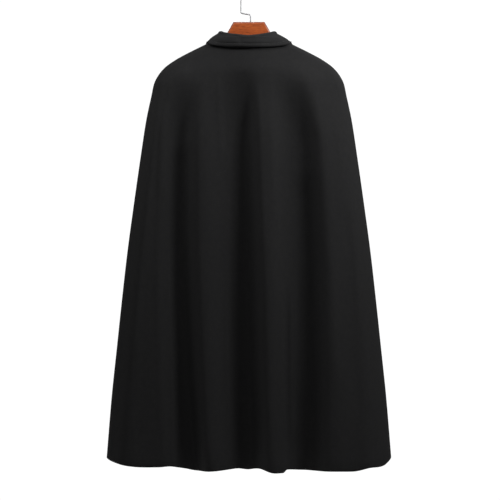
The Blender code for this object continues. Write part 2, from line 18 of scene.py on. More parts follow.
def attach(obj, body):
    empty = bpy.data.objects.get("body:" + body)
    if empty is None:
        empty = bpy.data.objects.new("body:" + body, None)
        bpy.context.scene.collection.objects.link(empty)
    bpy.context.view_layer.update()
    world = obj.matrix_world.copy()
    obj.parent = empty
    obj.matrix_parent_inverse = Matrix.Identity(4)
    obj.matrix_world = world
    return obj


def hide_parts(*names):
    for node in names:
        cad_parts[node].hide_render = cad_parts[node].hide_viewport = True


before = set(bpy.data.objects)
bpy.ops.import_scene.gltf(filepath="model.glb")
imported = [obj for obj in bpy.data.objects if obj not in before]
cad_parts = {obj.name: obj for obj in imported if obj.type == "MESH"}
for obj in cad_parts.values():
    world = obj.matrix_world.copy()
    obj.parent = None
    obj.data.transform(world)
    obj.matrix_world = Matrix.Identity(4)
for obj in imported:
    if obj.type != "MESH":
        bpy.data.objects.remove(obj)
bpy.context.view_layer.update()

# %% [markdown]
# ## The camera
#
# The photo is a product picture taken with a long lens from about 4 m, square to the back and at
# the middle of the garment's height. Its 500 pixels span 1.19 m at the seam's plane, so the
# lens follows from the distance and the sensor's width.

# %% Camera
PHOTO_SPAN = 1.19
CAMERA_DISTANCE = 4.0
CAMERA_X = -0.0015
CAMERA_DROP = 0.6216
SENSOR = 36.0

camera = bpy.data.objects.new("camera", bpy.data.cameras.new("camera"))
camera.data.sensor_width = SENSOR
camera.data.lens = SENSOR * CAMERA_DISTANCE / PHOTO_SPAN
camera.location = (CAMERA_X, -CAMERA_DISTANCE, -CAMERA_DROP)
camera.rotation_euler = (math.radians(90), 0.0, 0.0)
bpy.context.scene.collection.objects.link(camera)
bpy.context.scene.camera = camera
print("camera: lens %.1f mm at %.1f m" % (camera.data.lens, CAMERA_DISTANCE))

# %% [markdown]
# ## The garment's sizes
#
# The tables are those that the frame was built from, in metres. A height is given as a drop
# below the inside of the hook's top. `SECTIONS` holds the outline and the fullness, `DIPS` how
# far a row of cloth sags in the middle, and the two fold tables hold each ridge and trough: where
# it runs at the chest and at the hem, and how far it stands out there.

# %% Sizes of the cloth
GARMENT_SHIFT = -0.0040
CLOTH = 0.002
COLLAR_CLOTH = 0.003
SEAM_GAP = 0.0003
NECK_POINT_DROP = 0.1185
SHOULDER_END_DROP = 0.2075
CHEST_DROP = 0.312
HEM_CORNER_DROP = 1.114

SECTION_COLUMNS = ("drop", "half_width", "depth", "roll")
SECTIONS = (
    (0.1185, 0.0760, 0.044, 0.0125),
    (0.1305, 0.0995, 0.044, 0.0125),
    (0.1500, 0.1390, 0.044, 0.0130),
    (0.1695, 0.1750, 0.044, 0.0140),
    (0.1885, 0.2010, 0.044, 0.0150),
    (0.2075, 0.2166, 0.044, 0.0165),
    (0.2265, 0.2260, 0.045, 0.0180),
    (0.2550, 0.2322, 0.047, 0.0200),
    (0.3120, 0.2443, 0.050, 0.0240),
    (0.4000, 0.2578, 0.055, 0.0300),
    (0.5120, 0.2738, 0.060, 0.0360),
    (0.6260, 0.2892, 0.065, 0.0410),
    (0.7410, 0.3023, 0.070, 0.0460),
    (0.8550, 0.3144, 0.075, 0.0500),
    (0.9690, 0.3264, 0.079, 0.0540),
    (1.1140, 0.3384, 0.085, 0.0580),
)
CROWN_REACH = 0.11
NECK_SWELL = 0.014
NECK_SWELL_WIDTH = 0.060
NECK_SWELL_HEIGHT = 0.080
NECK_SWELL_DROP = 0.130

DIP_COLUMNS = ("end_drop", "back", "front")
DIPS = (
    (0.1185, 0.0190, 0.0765),
    (0.1600, 0.0270, 0.0700),
    (0.2075, 0.0300, 0.0600),
    (0.3120, 0.0240, 0.0420),
    (0.5120, 0.0160, 0.0240),
    (1.1140, 0.0130, 0.0130),
)
BACK_NECK_SHAPE = 1.0
FRONT_NECK_SHAPE = 0.75
HEM_SHAPE = 0.6

# %% Sizes of the large folds
FOLD_START_DROP = 0.19
FOLD_TOP_DROP = 0.36
FOLD_SIDE_FADE = 0.045
HEM_DIP_START = 0.93
FOLD_COLUMNS = ("name", "x_top", "x_hem", "out_top", "out_hem", "hem_dip")
BACK_FOLDS = (
    ("left side plateau", -0.229, -0.296, 0.014, 0.014, -0.001),
    ("left plateau", -0.211, -0.204, 0.006, 0.004, -0.002),
    ("left trough", -0.160, -0.130, -0.020, -0.034, 0.007),
    ("left inner ridge", -0.114, -0.091, 0.009, 0.020, 0.005),
    ("middle trough", -0.010, 0.002, -0.020, -0.034, 0.004),
    ("right inner ridge", 0.029, 0.052, 0.016, 0.032, 0.008),
    ("right trough", 0.122, 0.133, -0.018, -0.018, 0.010),
    ("right ridge", 0.174, 0.192, 0.014, 0.032, 0.006),
    ("right side", 0.222, 0.262, 0.005, 0.017, 0.009),
)
FRONT_FOLDS = (
    ("left side ridge", -0.222, -0.268, 0.010, 0.022, 0.003),
    ("left side trough", -0.170, -0.200, -0.016, -0.028, 0.004),
    ("left ridge", -0.112, -0.128, 0.012, 0.027, 0.004),
    ("left inner trough", -0.066, -0.074, -0.009, -0.020, 0.002),
    ("left front edge", -0.028, -0.028, 0.004, 0.010, 0.002),
    ("right front edge", 0.030, 0.030, 0.004, 0.010, 0.002),
    ("right inner trough", 0.082, 0.092, -0.014, -0.026, 0.002),
    ("right ridge", 0.136, 0.154, 0.013, 0.029, 0.005),
    ("right side trough", 0.190, 0.216, -0.013, -0.024, 0.003),
    ("right side ridge", 0.226, 0.276, 0.009, 0.020, 0.003),
)
SIDE_FLAT = 0.0008
FRONT_LAP = 0.018
LAP_LIFT = 0.00125
LAP_FADE = 0.040

# %% [markdown]
# ## Curves through the tables
#
# A few numbers in a table become a smooth form when a curve runs through them. The curve here
# is one that never swings past its values, so a width in the table is a width of the garment.

# %% Curve helpers
def smooth_curve(places, values, at):
    """A curve through the values at the places that never swings past them."""
    places = np.asarray(places, float)
    values = np.asarray(values, float)
    at = np.clip(np.asarray(at, float), places[0], places[-1])
    step = np.diff(places)
    rise = np.diff(values) / step
    slope = np.zeros_like(values)
    slope[0], slope[-1] = rise[0], rise[-1]
    turning = rise[:-1] * rise[1:] <= 0
    total = np.where(turning, 1.0, rise[:-1] + rise[1:])
    slope[1:-1] = np.where(turning, 0.0, 2 * rise[:-1] * rise[1:] / total)
    part = np.clip(np.searchsorted(places, at, side="right") - 1, 0, len(step) - 1)
    f = (at - places[part]) / step[part]
    start = values[part] * (1 + 2 * f) * (1 - f) ** 2
    end = values[part + 1] * (3 - 2 * f) * f**2
    lean = slope[part] * f * (1 - f) ** 2 - slope[part + 1] * f**2 * (1 - f)
    return start + end + step[part] * lean


def column(rows, columns, name):
    """One named column of a table."""
    return [row[columns.index(name)] for row in rows]


def section(name, drop):
    """A value of the section table at any height."""
    drops = column(SECTIONS, SECTION_COLUMNS, "drop")
    return smooth_curve(drops, column(SECTIONS, SECTION_COLUMNS, name), drop)


def ease(value):
    """0 to 1 with a soft start and a soft end."""
    value = np.clip(value, 0.0, 1.0)
    return value * value * (3 - 2 * value)


def quarter_round(value):
    """The rise of a quarter circle: steep at 0, level at 1 and beyond."""
    return np.sqrt(1 - (1 - np.clip(value, 0.0, 1.0)) ** 2)


def hump(value):
    """1 at 0, falling softly to nothing within about 2 either way."""
    return np.exp(-(value**2))


# %% [markdown]
# ## The drape
#
# Seen from above, each panel runs from the side seam round a soft turn to a nearly flat middle.
# The folds are added to that as a wave through their ridges and troughs, faded out at the seam.

# %% Drape of a panel
SLANT_REACH = 0.02


def seam_slant(drop):
    """How much of a level distance to the seam is a distance square to it."""
    wider = section("half_width", drop + SLANT_REACH) - section("half_width", drop - SLANT_REACH)
    return 1 / np.sqrt(1 + (wider / (2 * SLANT_REACH)) ** 2)


def fall_share(drop):
    """0 at the chest, where the folds are formed, to 1 at the hem's corners."""
    return (drop - FOLD_TOP_DROP) / (HEM_CORNER_DROP - FOLD_TOP_DROP)


def fold_lines(drop, folds):
    """Where each fold runs at a height. Above the chest it keeps its share of the half width."""
    down = np.maximum(fall_share(drop), 0)
    share_top = np.array(column(folds, FOLD_COLUMNS, "x_top")) / section("half_width", FOLD_TOP_DROP)
    share_hem = np.array(column(folds, FOLD_COLUMNS, "x_hem")) / section("half_width", HEM_CORNER_DROP)
    half_width = section("half_width", drop)
    return [(top + (hem - top) * down) * half_width for top, hem in zip(share_top, share_hem)]


def fold_wave(x, drop, folds, values="out"):
    """How far the folds stand out at x, as a smooth wave through the crests and troughs."""
    half_width = section("half_width", drop)
    down = np.clip(fall_share(drop), 0, 1)
    if values == "out":
        begin = ease((drop - FOLD_START_DROP) / (FOLD_TOP_DROP - FOLD_START_DROP))
    else:
        begin = ease((drop - HEM_DIP_START) / (HEM_CORNER_DROP - HEM_DIP_START))
    places = [-half_width]
    heights = [np.zeros_like(half_width)]
    for row, place in zip(folds, fold_lines(drop, folds)):
        fold = dict(zip(FOLD_COLUMNS, row))
        places.append(place)
        if values == "out":
            height = fold["out_top"] + (fold["out_hem"] - fold["out_top"]) * down
        else:
            height = fold["hem_dip"]
        heights.append(begin * height)
    places.append(half_width)
    heights.append(np.zeros_like(half_width))
    wave = np.zeros_like(x + drop)
    for k in range(len(places) - 1):
        gap = np.maximum(places[k + 1] - places[k], 1e-6)
        f = (x - places[k]) / gap
        rounded = (1 - np.cos(np.pi * np.clip(f, 0, 1))) / 2
        inside = (f >= 0) & (f < 1)
        wave = np.where(inside, heights[k] + (heights[k + 1] - heights[k]) * rounded, wave)
    return wave


def panel_depth(x, drop, folds):
    """How far a panel's outer face lies from the plane of the shoulder and side seams."""
    half_width = section("half_width", drop)
    slant = seam_slant(drop)
    to_seam = np.maximum(half_width - np.abs(x), 0.0) * slant
    to_seam_crowned = np.maximum(half_width**2 - x**2, 0.0) / (2 * half_width) * slant
    roll = section("roll", drop)
    turned = roll * quarter_round(to_seam / roll)
    crown = np.sin(np.pi / 2 * np.clip(to_seam_crowned / CROWN_REACH, 0, 1))
    crowned = (section("depth", drop) - roll) * crown
    neck = np.exp(-((x / NECK_SWELL_WIDTH) ** 2) - ((drop - NECK_SWELL_DROP) / NECK_SWELL_HEIGHT) ** 2)
    swell = NECK_SWELL * neck * quarter_round(to_seam / roll)
    folded = fold_wave(x, drop, folds) * ease(to_seam / FOLD_SIDE_FADE)
    return turned + crowned + swell + folded


def row_drop(end_drop, x, side):
    """The drop of a row's point at x, for a row whose ends lie on the seam at end_drop."""
    across = np.clip(x / section("half_width", end_drop), -1, 1)
    shape = BACK_NECK_SHAPE if side == "back" else FRONT_NECK_SHAPE
    shape = shape + (HEM_SHAPE - shape) * ease(fall_share(end_drop))
    folds = BACK_FOLDS if side == "back" else FRONT_FOLDS
    dip = smooth_curve(column(DIPS, DIP_COLUMNS, "end_drop"), column(DIPS, DIP_COLUMNS, side), end_drop)
    return end_drop + dip * (1 - across**2) ** shape + fold_wave(x, end_drop, folds, "hem_dip")


HEM_LINE_START = 1.04
HEM_LINE_COLUMNS = ("x", "down")
HEM_LINE = (
    (-0.3384, 0.0),
    (-0.3200, 0.0025),
    (-0.2500, 0.0070),
    (-0.2100, 0.0060),
    (-0.1780, 0.0020),
    (-0.1500, 0.0030),
    (-0.1220, 0.0070),
    (-0.0850, 0.0040),
    (-0.0290, 0.0020),
    (-0.0010, 0.0060),
    (0.0300, -0.0010),
    (0.0640, 0.0040),
    (0.0800, 0.0040),
    (0.0890, -0.0030),
    (0.1200, 0.0),
    (0.2130, 0.0045),
    (0.2410, 0.0050),
    (0.2790, 0.0010),
    (0.3160, 0.0085),
    (0.3384, 0.0),
)


def hem_line(x, end_drop):
    """How much further down the back's hem hangs here and there, as it was sewn and pressed."""
    places = column(HEM_LINE, HEM_LINE_COLUMNS, "x")
    down = smooth_curve(places, column(HEM_LINE, HEM_LINE_COLUMNS, "down"), x)
    return down * ease((end_drop - HEM_LINE_START) / (HEM_CORNER_DROP - HEM_LINE_START))


def lap_lift(x, side):
    """The upper front rides over the lower one where they lap."""
    towards_lap = x if side == "front_left" else -x
    lift = LAP_LIFT * ease((towards_lap + FRONT_LAP + LAP_FADE) / LAP_FADE)
    return lift if side == "front_left" else -lift


# %% [markdown]
# ## Small creases
#
# Between the large folds a real poncho shows small ones: a sharp line beside a ridge, a soft
# dent under the shoulder. Each is one row of a table: where it begins and ends, how wide it is
# and how far it stands out, a trough when that is negative. They are as uneven as in the photo.

# %% Small creases
CREASE_COLUMNS = ("x_top", "top", "x_low", "low", "width", "out")
BACK_CREASES = (
    (-0.2420, 0.620, -0.2560, 1.150, 0.0130, -0.0014),
    (-0.2050, 0.260, -0.2060, 0.520, 0.0110, 0.0014),
    (-0.1870, 0.560, -0.1760, 1.150, 0.0080, 0.0024),
    (-0.1580, 0.150, -0.1560, 0.420, 0.0250, 0.0035),
    (-0.1200, 0.700, -0.1100, 1.060, 0.0130, -0.0012),
    (-0.0700, 0.200, -0.0650, 0.430, 0.0080, 0.0016),
    (-0.0480, 0.640, -0.0440, 1.150, 0.0080, 0.0024),
    (0.0240, 0.560, 0.0290, 0.930, 0.0100, -0.0012),
    (0.0500, 0.190, 0.0640, 0.600, 0.0100, 0.0016),
    (0.0800, 0.700, 0.0770, 1.150, 0.0060, 0.0020),
    (0.0905, 0.680, 0.0880, 1.150, 0.0065, -0.0046),
    (0.1040, 0.680, 0.1015, 1.100, 0.0080, 0.0040),
    (0.1240, 0.150, 0.1300, 0.500, 0.0300, 0.0050),
    (0.1270, 0.760, 0.1300, 1.000, 0.0070, 0.0016),
    (0.1880, 0.560, 0.2000, 0.950, 0.0110, 0.0018),
    (0.2050, 0.240, 0.2260, 0.560, 0.0130, 0.0020),
    (0.2750, 0.700, 0.2900, 1.150, 0.0120, -0.0016),
)
FRONT_CREASES = (
    (-0.1500, 0.300, -0.1620, 0.760, 0.0110, 0.0018),
    (-0.0900, 0.420, -0.0980, 0.980, 0.0100, -0.0014),
    (-0.2200, 0.520, -0.2400, 1.150, 0.0100, 0.0022),
    (-0.0480, 0.300, -0.0500, 0.900, 0.0090, 0.0012),
    (0.1100, 0.260, 0.1180, 0.640, 0.0100, 0.0016),
    (0.1760, 0.420, 0.1940, 1.150, 0.0100, -0.0018),
    (0.0620, 0.700, 0.0660, 1.150, 0.0080, 0.0020),
    (0.2400, 0.560, 0.2620, 1.150, 0.0110, 0.0018),
)
CREASE_SWAY = 0.0022
SWAY_ALONG = 9.0
SWAY_ACROSS = 40.0
CREASE_FADE_IN = 0.25
CREASE_FADE_OUT = 0.2


def crease_relief(x, drop, creases):
    """How far the small creases stand out at each point."""
    relief = np.zeros_like(x + drop)
    for row in creases:
        crease = dict(zip(CREASE_COLUMNS, row))
        length = crease["low"] - crease["top"]
        along = (drop - crease["top"]) / length
        middle = crease["x_top"] + (crease["x_low"] - crease["x_top"]) * along
        middle = middle + CREASE_SWAY * np.sin(SWAY_ALONG * drop + SWAY_ACROSS * crease["x_top"])
        fade = ease(along / CREASE_FADE_IN) * ease((1.0 - along) / CREASE_FADE_OUT)
        relief += crease["out"] * fade * hump((x - middle) / crease["width"])
    return relief


# %% [markdown]
# Thick wool is never quite even between its folds. A few long, slow waves of a third of a
# millimetre or so, worked out from sines, give it that without a random number.

# %% Slow waves of the cloth
SLOW_WAVES = (
    (31.0, 7.0, 0.4, 0.00050),
    (17.0, -11.0, 1.9, 0.00055),
    (53.0, 13.0, 2.7, 0.00028),
    (71.0, -19.0, 4.1, 0.00018),
)


def slow_waves(x, drop, turn=0.0):
    """Low, uneven waves, different for each piece by its turn."""
    total = 0.0
    for across, down, start, height in SLOW_WAVES:
        total = total + height * np.sin(across * x + down * drop + start + turn)
    return total


# %% [markdown]
# ## A panel as a sheet
#
# A panel could be modelled by pushing a grid about with the mouse. Here a flat grid is added
# and each of its points is sent to its place by the drape's formulas, which keeps the outline
# exactly on the frame's. Its columns run along the folds, so that a sharp crease is never cut
# across by the grid. Solidify then gives the sheet its thickness and Bevel softens its rims.

# %% Sheet helpers
def deselect():
    """Nothing selected and no object active."""
    if bpy.context.object is not None and bpy.context.object.mode != "OBJECT":
        bpy.ops.object.mode_set(mode="OBJECT")
    bpy.ops.object.select_all(action="DESELECT")
    bpy.context.view_layer.objects.active = None


def activate(obj):
    """Only this object selected, and active."""
    deselect()
    obj.select_set(True)
    bpy.context.view_layer.objects.active = obj


def apply_modifiers(obj):
    """Applies every modifier on the object, in order."""
    activate(obj)
    for modifier in list(obj.modifiers):
        bpy.ops.object.modifier_apply(modifier=modifier.name)


def sheet_of(name, points, facing):
    """A flat grid whose points are sent to their places, its faces towards facing."""
    rows, columns = points.shape[:2]
    deselect()
    bpy.ops.mesh.primitive_grid_add(x_subdivisions=columns - 1, y_subdivisions=rows - 1, size=1.0)
    sheet = bpy.context.object
    sheet.name = name
    sheet.data.name = name
    sheet.data.vertices.foreach_set("co", points.reshape(-1))
    sheet.data.update()
    outward = sum(poly.normal.dot(Vector(facing)) * poly.area for poly in sheet.data.polygons)
    if outward < 0:
        bpy.ops.object.mode_set(mode="EDIT")
        bpy.ops.mesh.select_all(action="SELECT")
        bpy.ops.mesh.flip_normals()
        bpy.ops.object.mode_set(mode="OBJECT")
    return sheet


def thicken(sheet, thickness, offset, rim):
    """Gives a sheet its wall and rounds the rims of the wall."""
    wall = sheet.modifiers.new("cloth thickness", "SOLIDIFY")
    wall.thickness = thickness
    wall.offset = offset
    wall.use_even_offset = True
    soft = sheet.modifiers.new("soft rims", "BEVEL")
    soft.width = rim
    soft.segments = 2
    soft.limit_method = "ANGLE"
    soft.angle_limit = math.radians(60)
    apply_modifiers(sheet)
    sheet.data.shade_smooth()
    print("%s: %d faces" % (sheet.name, len(sheet.data.polygons)))
    return sheet


# %% Grid of a panel
ROWS = (
    (NECK_POINT_DROP, SHOULDER_END_DROP, 44),
    (SHOULDER_END_DROP, CHEST_DROP, 26),
    (CHEST_DROP, HEM_CORNER_DROP, 150),
)
COLUMN_STEP = 0.0036
SIDE_COLUMNS = 26
HEM_EDGE_TURN = 0.0012
HEM_EDGE_HEIGHT = 0.006
SMOOTH_NECK_EDGE = 0.015
NECK_FADE = 0.06
FRONT_LEFT_WAVES = 1.3
FRONT_RIGHT_WAVES = 2.9


def away_from_neck(end_drop):
    """0 in the smooth strip at the neckline, 1 below it, for the small creases."""
    return ease((end_drop - NECK_POINT_DROP - SMOOTH_NECK_EDGE) / NECK_FADE)


def end_drops():
    """The heights at which the rows of the cloth meet the seam."""
    drops = [ROWS[0][0]]
    for start, end, count in ROWS:
        drops += [start + (end - start) * (k + 1) / count for k in range(count)]
    return np.array(drops)


def hem_places(stops, closed_left, closed_right):
    """Places along the hem from stop to stop, closer and closer towards a side seam."""
    across = [stops[0]]
    for k in range(len(stops) - 1):
        start, end = stops[k], stops[k + 1]
        at_seam = (k == 0 and closed_left) or (k == len(stops) - 2 and closed_right)
        count = SIDE_COLUMNS if at_seam else max(2, round((end - start) / COLUMN_STEP))
        for step in range(1, count + 1):
            part = step / count
            if k == 0 and closed_left:
                part = part**2
            elif k == len(stops) - 2 and closed_right:
                part = 1 - (1 - part) ** 2
            across.append(start + (end - start) * part)
    return np.array(across)


def column_stops(side, drop):
    """The fold lines that a side's columns follow at a height, with its two borders."""
    half = float(section("half_width", drop))
    folds = BACK_FOLDS if side == "back" else FRONT_FOLDS
    places = [float(place) for place in fold_lines(drop, folds)]
    if side == "back":
        return [-half] + places + [half]
    if side == "front_left":
        return [-half] + [place for place in places if place < 0] + [FRONT_LAP]
    return [-FRONT_LAP] + [place for place in places if place > 0] + [half]


def panel_points(side, creases, turn):
    """The outer face of a panel, row by row, with a flat strip along its seams."""
    facing = -1 if side == "back" else 1
    which = "back" if side == "back" else "front"
    folds = BACK_FOLDS if side == "back" else FRONT_FOLDS
    seam_left = side != "front_right"
    seam_right = side != "front_left"
    hem_stops = column_stops(side, HEM_CORNER_DROP)
    hem_row = hem_places(hem_stops, seam_left, seam_right)
    points = []
    for end_drop in end_drops():
        x = np.interp(hem_row, hem_stops, column_stops(side, end_drop))
        drop = row_drop(end_drop, x, which)
        if side == "back":
            drop = drop + hem_line(x, end_drop)
        half = section("half_width", drop)
        clear_of_seam = ease((half - np.abs(x)) * seam_slant(drop) / FOLD_SIDE_FADE)
        relief = (crease_relief(x, drop, creases) + slow_waves(x, drop, turn)) * clear_of_seam
        depth = SEAM_GAP / 2 + SIDE_FLAT + panel_depth(x, drop, folds) + relief * away_from_neck(end_drop)
        at_hem = ease(1 - (HEM_CORNER_DROP - end_drop) / HEM_EDGE_HEIGHT)
        depth = depth - HEM_EDGE_TURN * at_hem * clear_of_seam
        if side != "back":
            depth = depth + lap_lift(x, side)
        row = [(place, facing * out, -down) for place, out, down in zip(x, depth, drop)]
        if seam_left:
            row.insert(0, (x[0], facing * SEAM_GAP / 2, -drop[0]))
        if seam_right:
            row.append((x[-1], facing * SEAM_GAP / 2, -drop[-1]))
        points.append(row)
    return np.array(points)


# %% [markdown]
# ## The back
#
# The back is one piece of cloth, cut from the neckline to the hem, and the only panel that the
# photo shows. The shoulder and side seams run along its outline, so no seam crosses it.

# %% Back
CLOTH_RIM = 0.00045
back = sheet_of("wool_back", panel_points("back", BACK_CREASES, 0.0), (0, -1, 0))
thicken(back, CLOTH, -1, CLOTH_RIM)

# %% [markdown]
# ## The fronts
#
# The fronts hide behind the back in the photo, so they are finished plainly: the wearer's left
# one laps 36 mm over the right one and is held by one button at the neck.

# %% Fronts
left_points = panel_points("front_left", FRONT_CREASES, FRONT_LEFT_WAVES)
front_left = sheet_of("wool_front_left", left_points, (0, 1, 0))
thicken(front_left, CLOTH, -1, CLOTH_RIM)
right_points = panel_points("front_right", FRONT_CREASES, FRONT_RIGHT_WAVES)
front_right = sheet_of("wool_front_right", right_points, (0, 1, 0))
thicken(front_right, CLOTH, -1, CLOTH_RIM)

# %% [markdown]
# ## The collar
#
# A turned-down collar is one strip: it stands up from the neckline, rolls over and falls to its
# free edge, which lies on the shoulders. Its edge is turned and pressed, which leaves a thick
# round rim with a groove above it, and the middle of its back sags where nothing holds it up.
# It lies a little closer to the cloth than the frame's plain collar, and its edge is rounder.

# %% Sizes of the collar
COLLAR_END_ANGLE = 171.0
COLLAR_ROWS = 228
ROLL_HALF_WIDTH = 0.0645
ROLL_SHIFT = -0.0032
ROLL_DEPTH_BACK = 0.034
ROLL_DEPTH_FRONT = 0.050
ROLL_RADIUS = 0.0045
STAND_SEAM_LIFT = 0.0011
FALL_CROWN = 0.003
FALL_CROWN_AT_SIDES = 0.80
FALL_CLEARANCE = 0.0010
FALL_SEAM_MARGIN = 0.003
FALL_SOFTNESS = 0.002
LEAST_FACING = 0.4
COLLAR_COLUMNS = ("angle", "roll_drop", "edge_x", "edge_drop", "stand_off")
COLLAR = (
    (0.0, 0.1150, 0.0000, 0.1440, 0.0011),
    (30.0, 0.1125, 0.0460, 0.1423, 0.0011),
    (60.0, 0.1060, 0.0830, 0.1376, 0.0011),
    (78.0, 0.1025, 0.0962, 0.1325, 0.0012),
    (90.0, 0.1025, 0.0982, 0.1297, 0.0010),
    (104.0, 0.1075, 0.1030, 0.1405, 0.0014),
    (122.0, 0.1220, 0.1020, 0.1700, 0.0014),
    (142.0, 0.1470, 0.0880, 0.2090, 0.0014),
    (171.0, 0.1780, 0.0540, 0.2480, 0.0014),
)


# %% Lines on the panels that the collar follows
def neckline(angle):
    """The middle of the cloth at the neckline seam, at an angle round the neck."""
    half = section("half_width", NECK_POINT_DROP)
    x = half * math.sin(math.radians(angle))
    at_back = abs(angle) < 90
    drop = row_drop(NECK_POINT_DROP, x, "back" if at_back else "front")
    depth = SIDE_FLAT + panel_depth(x, drop, BACK_FOLDS if at_back else FRONT_FOLDS) - CLOTH / 2
    inside = (half - CLOTH / 2) / half
    return np.array([x * inside, -depth if at_back else depth, -float(drop)])


def panel_point(x, drop, at_back):
    """A point of a panel's outer face, without the lap's lift."""
    depth = SIDE_FLAT + float(panel_depth(x, drop, BACK_FOLDS if at_back else FRONT_FOLDS))
    return np.array([x, -depth if at_back else depth, -drop])


def panel_normal(x, drop, at_back):
    """The outward direction of a panel's outer face. On the seam it lies in the seam's plane."""
    half_width = float(section("half_width", drop))
    near = 0.0004
    x = math.copysign(min(abs(x), half_width - 2 * near), x)
    side = panel_point(x + near, drop, at_back) - panel_point(x - near, drop, at_back)
    down = panel_point(x, drop + near, at_back) - panel_point(x, drop - near, at_back)
    normal = np.cross(side, down)
    normal /= np.linalg.norm(normal)
    outward = -1 if at_back else 1
    return normal if normal[1] * outward > 0 else -normal


def collar_value(name, angle):
    """A value of the collar's table at any angle round the neck."""
    places = column(COLLAR, COLLAR_COLUMNS, "angle")
    return float(smooth_curve(places, column(COLLAR, COLLAR_COLUMNS, name), abs(angle)))


def collar_edge(angle):
    """The collar's free edge: a line on the panels, moved out along their normals."""
    x = math.copysign(collar_value("edge_x", angle), angle)
    drop = collar_value("edge_drop", angle)
    at_back = abs(angle) < 90
    out = COLLAR_CLOTH / 2 + collar_value("stand_off", angle)
    return panel_point(x, drop, at_back) + out * panel_normal(x, drop, at_back)


def clear_of_panel(point, at_back):
    """Moves a point of the collar's fall out to where it clears the panel beneath it."""
    x, y, z = point
    if abs(x) >= float(section("half_width", -z)) - FALL_SEAM_MARGIN or -z < NECK_POINT_DROP:
        return point
    facing = max(abs(panel_normal(x, -z, at_back)[1]), LEAST_FACING)
    least = abs(panel_point(x, -z, at_back)[1]) + (COLLAR_CLOTH / 2 + FALL_CLEARANCE) / facing
    depth = (abs(y) + least + math.hypot(abs(y) - least, FALL_SOFTNESS)) / 2
    return np.array([x, math.copysign(depth, y), z])


# %% Collar
STAND_STEPS = 6
ROLL_STEPS = 12
FALL_STEPS = 26
FALL_LENGTH = 0.030
COLLAR_RIM = 0.0008
RIM_WIDTH = 0.0062
RIM_MIDDLE = 0.45
RIM_REACH = 0.42
RIM_OUT = 0.0007
GROOVE_MIDDLE = 1.35
GROOVE_REACH = 0.35
GROOVE_OUT = -0.0006
MIDDLE_CREASE = 0.0014
MIDDLE_CREASE_ANGLE = -13.0
MIDDLE_CREASE_REACH = 4.0
MIDDLE_CREASE_FADE = 0.008
UNEVEN_OUT = 0.0005
UNEVEN_TURNS = 7.0
UNEVEN_START = 30.0
UNEVEN_FADE = 0.02
ROLL_SAG = 0.0007
ROLL_SAG_TURNS = 5.0
ROLL_SAG_START = 70.0


def fall_relief(angle, to_edge):
    """The thick rim at the collar's edge, the groove above it and a few soft dents."""
    facing = abs(math.cos(math.radians(angle)))
    rim = RIM_OUT * hump((to_edge - RIM_WIDTH * RIM_MIDDLE) / (RIM_WIDTH * RIM_REACH)) * facing
    groove = GROOVE_OUT * hump((to_edge - RIM_WIDTH * GROOVE_MIDDLE) / (RIM_WIDTH * GROOVE_REACH))
    dent = -MIDDLE_CREASE * hump((angle - MIDDLE_CREASE_ANGLE) / MIDDLE_CREASE_REACH)
    dent = dent * ease((to_edge - RIM_WIDTH) / MIDDLE_CREASE_FADE)
    wave = math.sin(math.radians(UNEVEN_TURNS * angle + UNEVEN_START))
    uneven = UNEVEN_OUT * wave * ease(to_edge / UNEVEN_FADE)
    return rim + groove + dent + uneven


def fall_crown(turn):
    """How far the fall bows out, less at the shoulders."""
    return FALL_CROWN * (FALL_CROWN_AT_SIDES + (1 - FALL_CROWN_AT_SIDES) * abs(math.cos(turn)))


def collar_strip(angle):
    """The middle of the collar's wall at an angle: stand, roll and fall."""
    up = np.array([0.0, 0.0, 1.0])
    turn = math.radians(angle)
    at_back = abs(angle) < 90
    away = np.array([math.sin(turn), -math.cos(turn), 0.0])
    roll_depth = ROLL_DEPTH_BACK if at_back else ROLL_DEPTH_FRONT
    top = np.array([ROLL_SHIFT + ROLL_HALF_WIDTH * math.sin(turn), -roll_depth * math.cos(turn), 0.0])
    sag = ROLL_SAG * math.sin(math.radians(ROLL_SAG_TURNS * angle + ROLL_SAG_START))
    centre = top - (collar_value("roll_drop", angle) + ROLL_RADIUS + sag) * up
    foot = neckline(angle) + STAND_SEAM_LIFT * up
    edge = collar_edge(angle)
    inner = centre - ROLL_RADIUS * away
    outer = centre + ROLL_RADIUS * away
    strip = [foot + (inner - foot) * k / STAND_STEPS for k in range(STAND_STEPS)]
    for k in range(ROLL_STEPS):
        lean = math.pi * k / ROLL_STEPS
        strip.append(centre + ROLL_RADIUS * (math.sin(lean) * up - math.cos(lean) * away))
    length = np.linalg.norm(edge - outer)
    for k in range(FALL_STEPS + 1):
        part = k / FALL_STEPS
        crown = fall_crown(turn) * math.sin(math.pi * part) * away
        point = outer + (edge - outer) * part + crown
        point = clear_of_panel(point, at_back) if k < FALL_STEPS else point
        strip.append(point + fall_relief(angle, (1 - part) * length) * away)
    return strip


collar_angles = np.linspace(-COLLAR_END_ANGLE, COLLAR_END_ANGLE, COLLAR_ROWS + 1)
collar_points = np.array([collar_strip(angle) for angle in collar_angles])
collar = sheet_of("wool_collar", collar_points, (0, 0, 1))
thicken(collar, COLLAR_CLOTH, 0, COLLAR_RIM)

# %% [markdown]
# ## The hanger
#
# The hanger is a flat wishbone of varnished wood with a raised block, of which the photo shows
# the top. Its outline is drawn as a filled curve whose own bevel rounds the edges, and the
# curve is then made a mesh. The socket for the wire is bored with a Boolean.

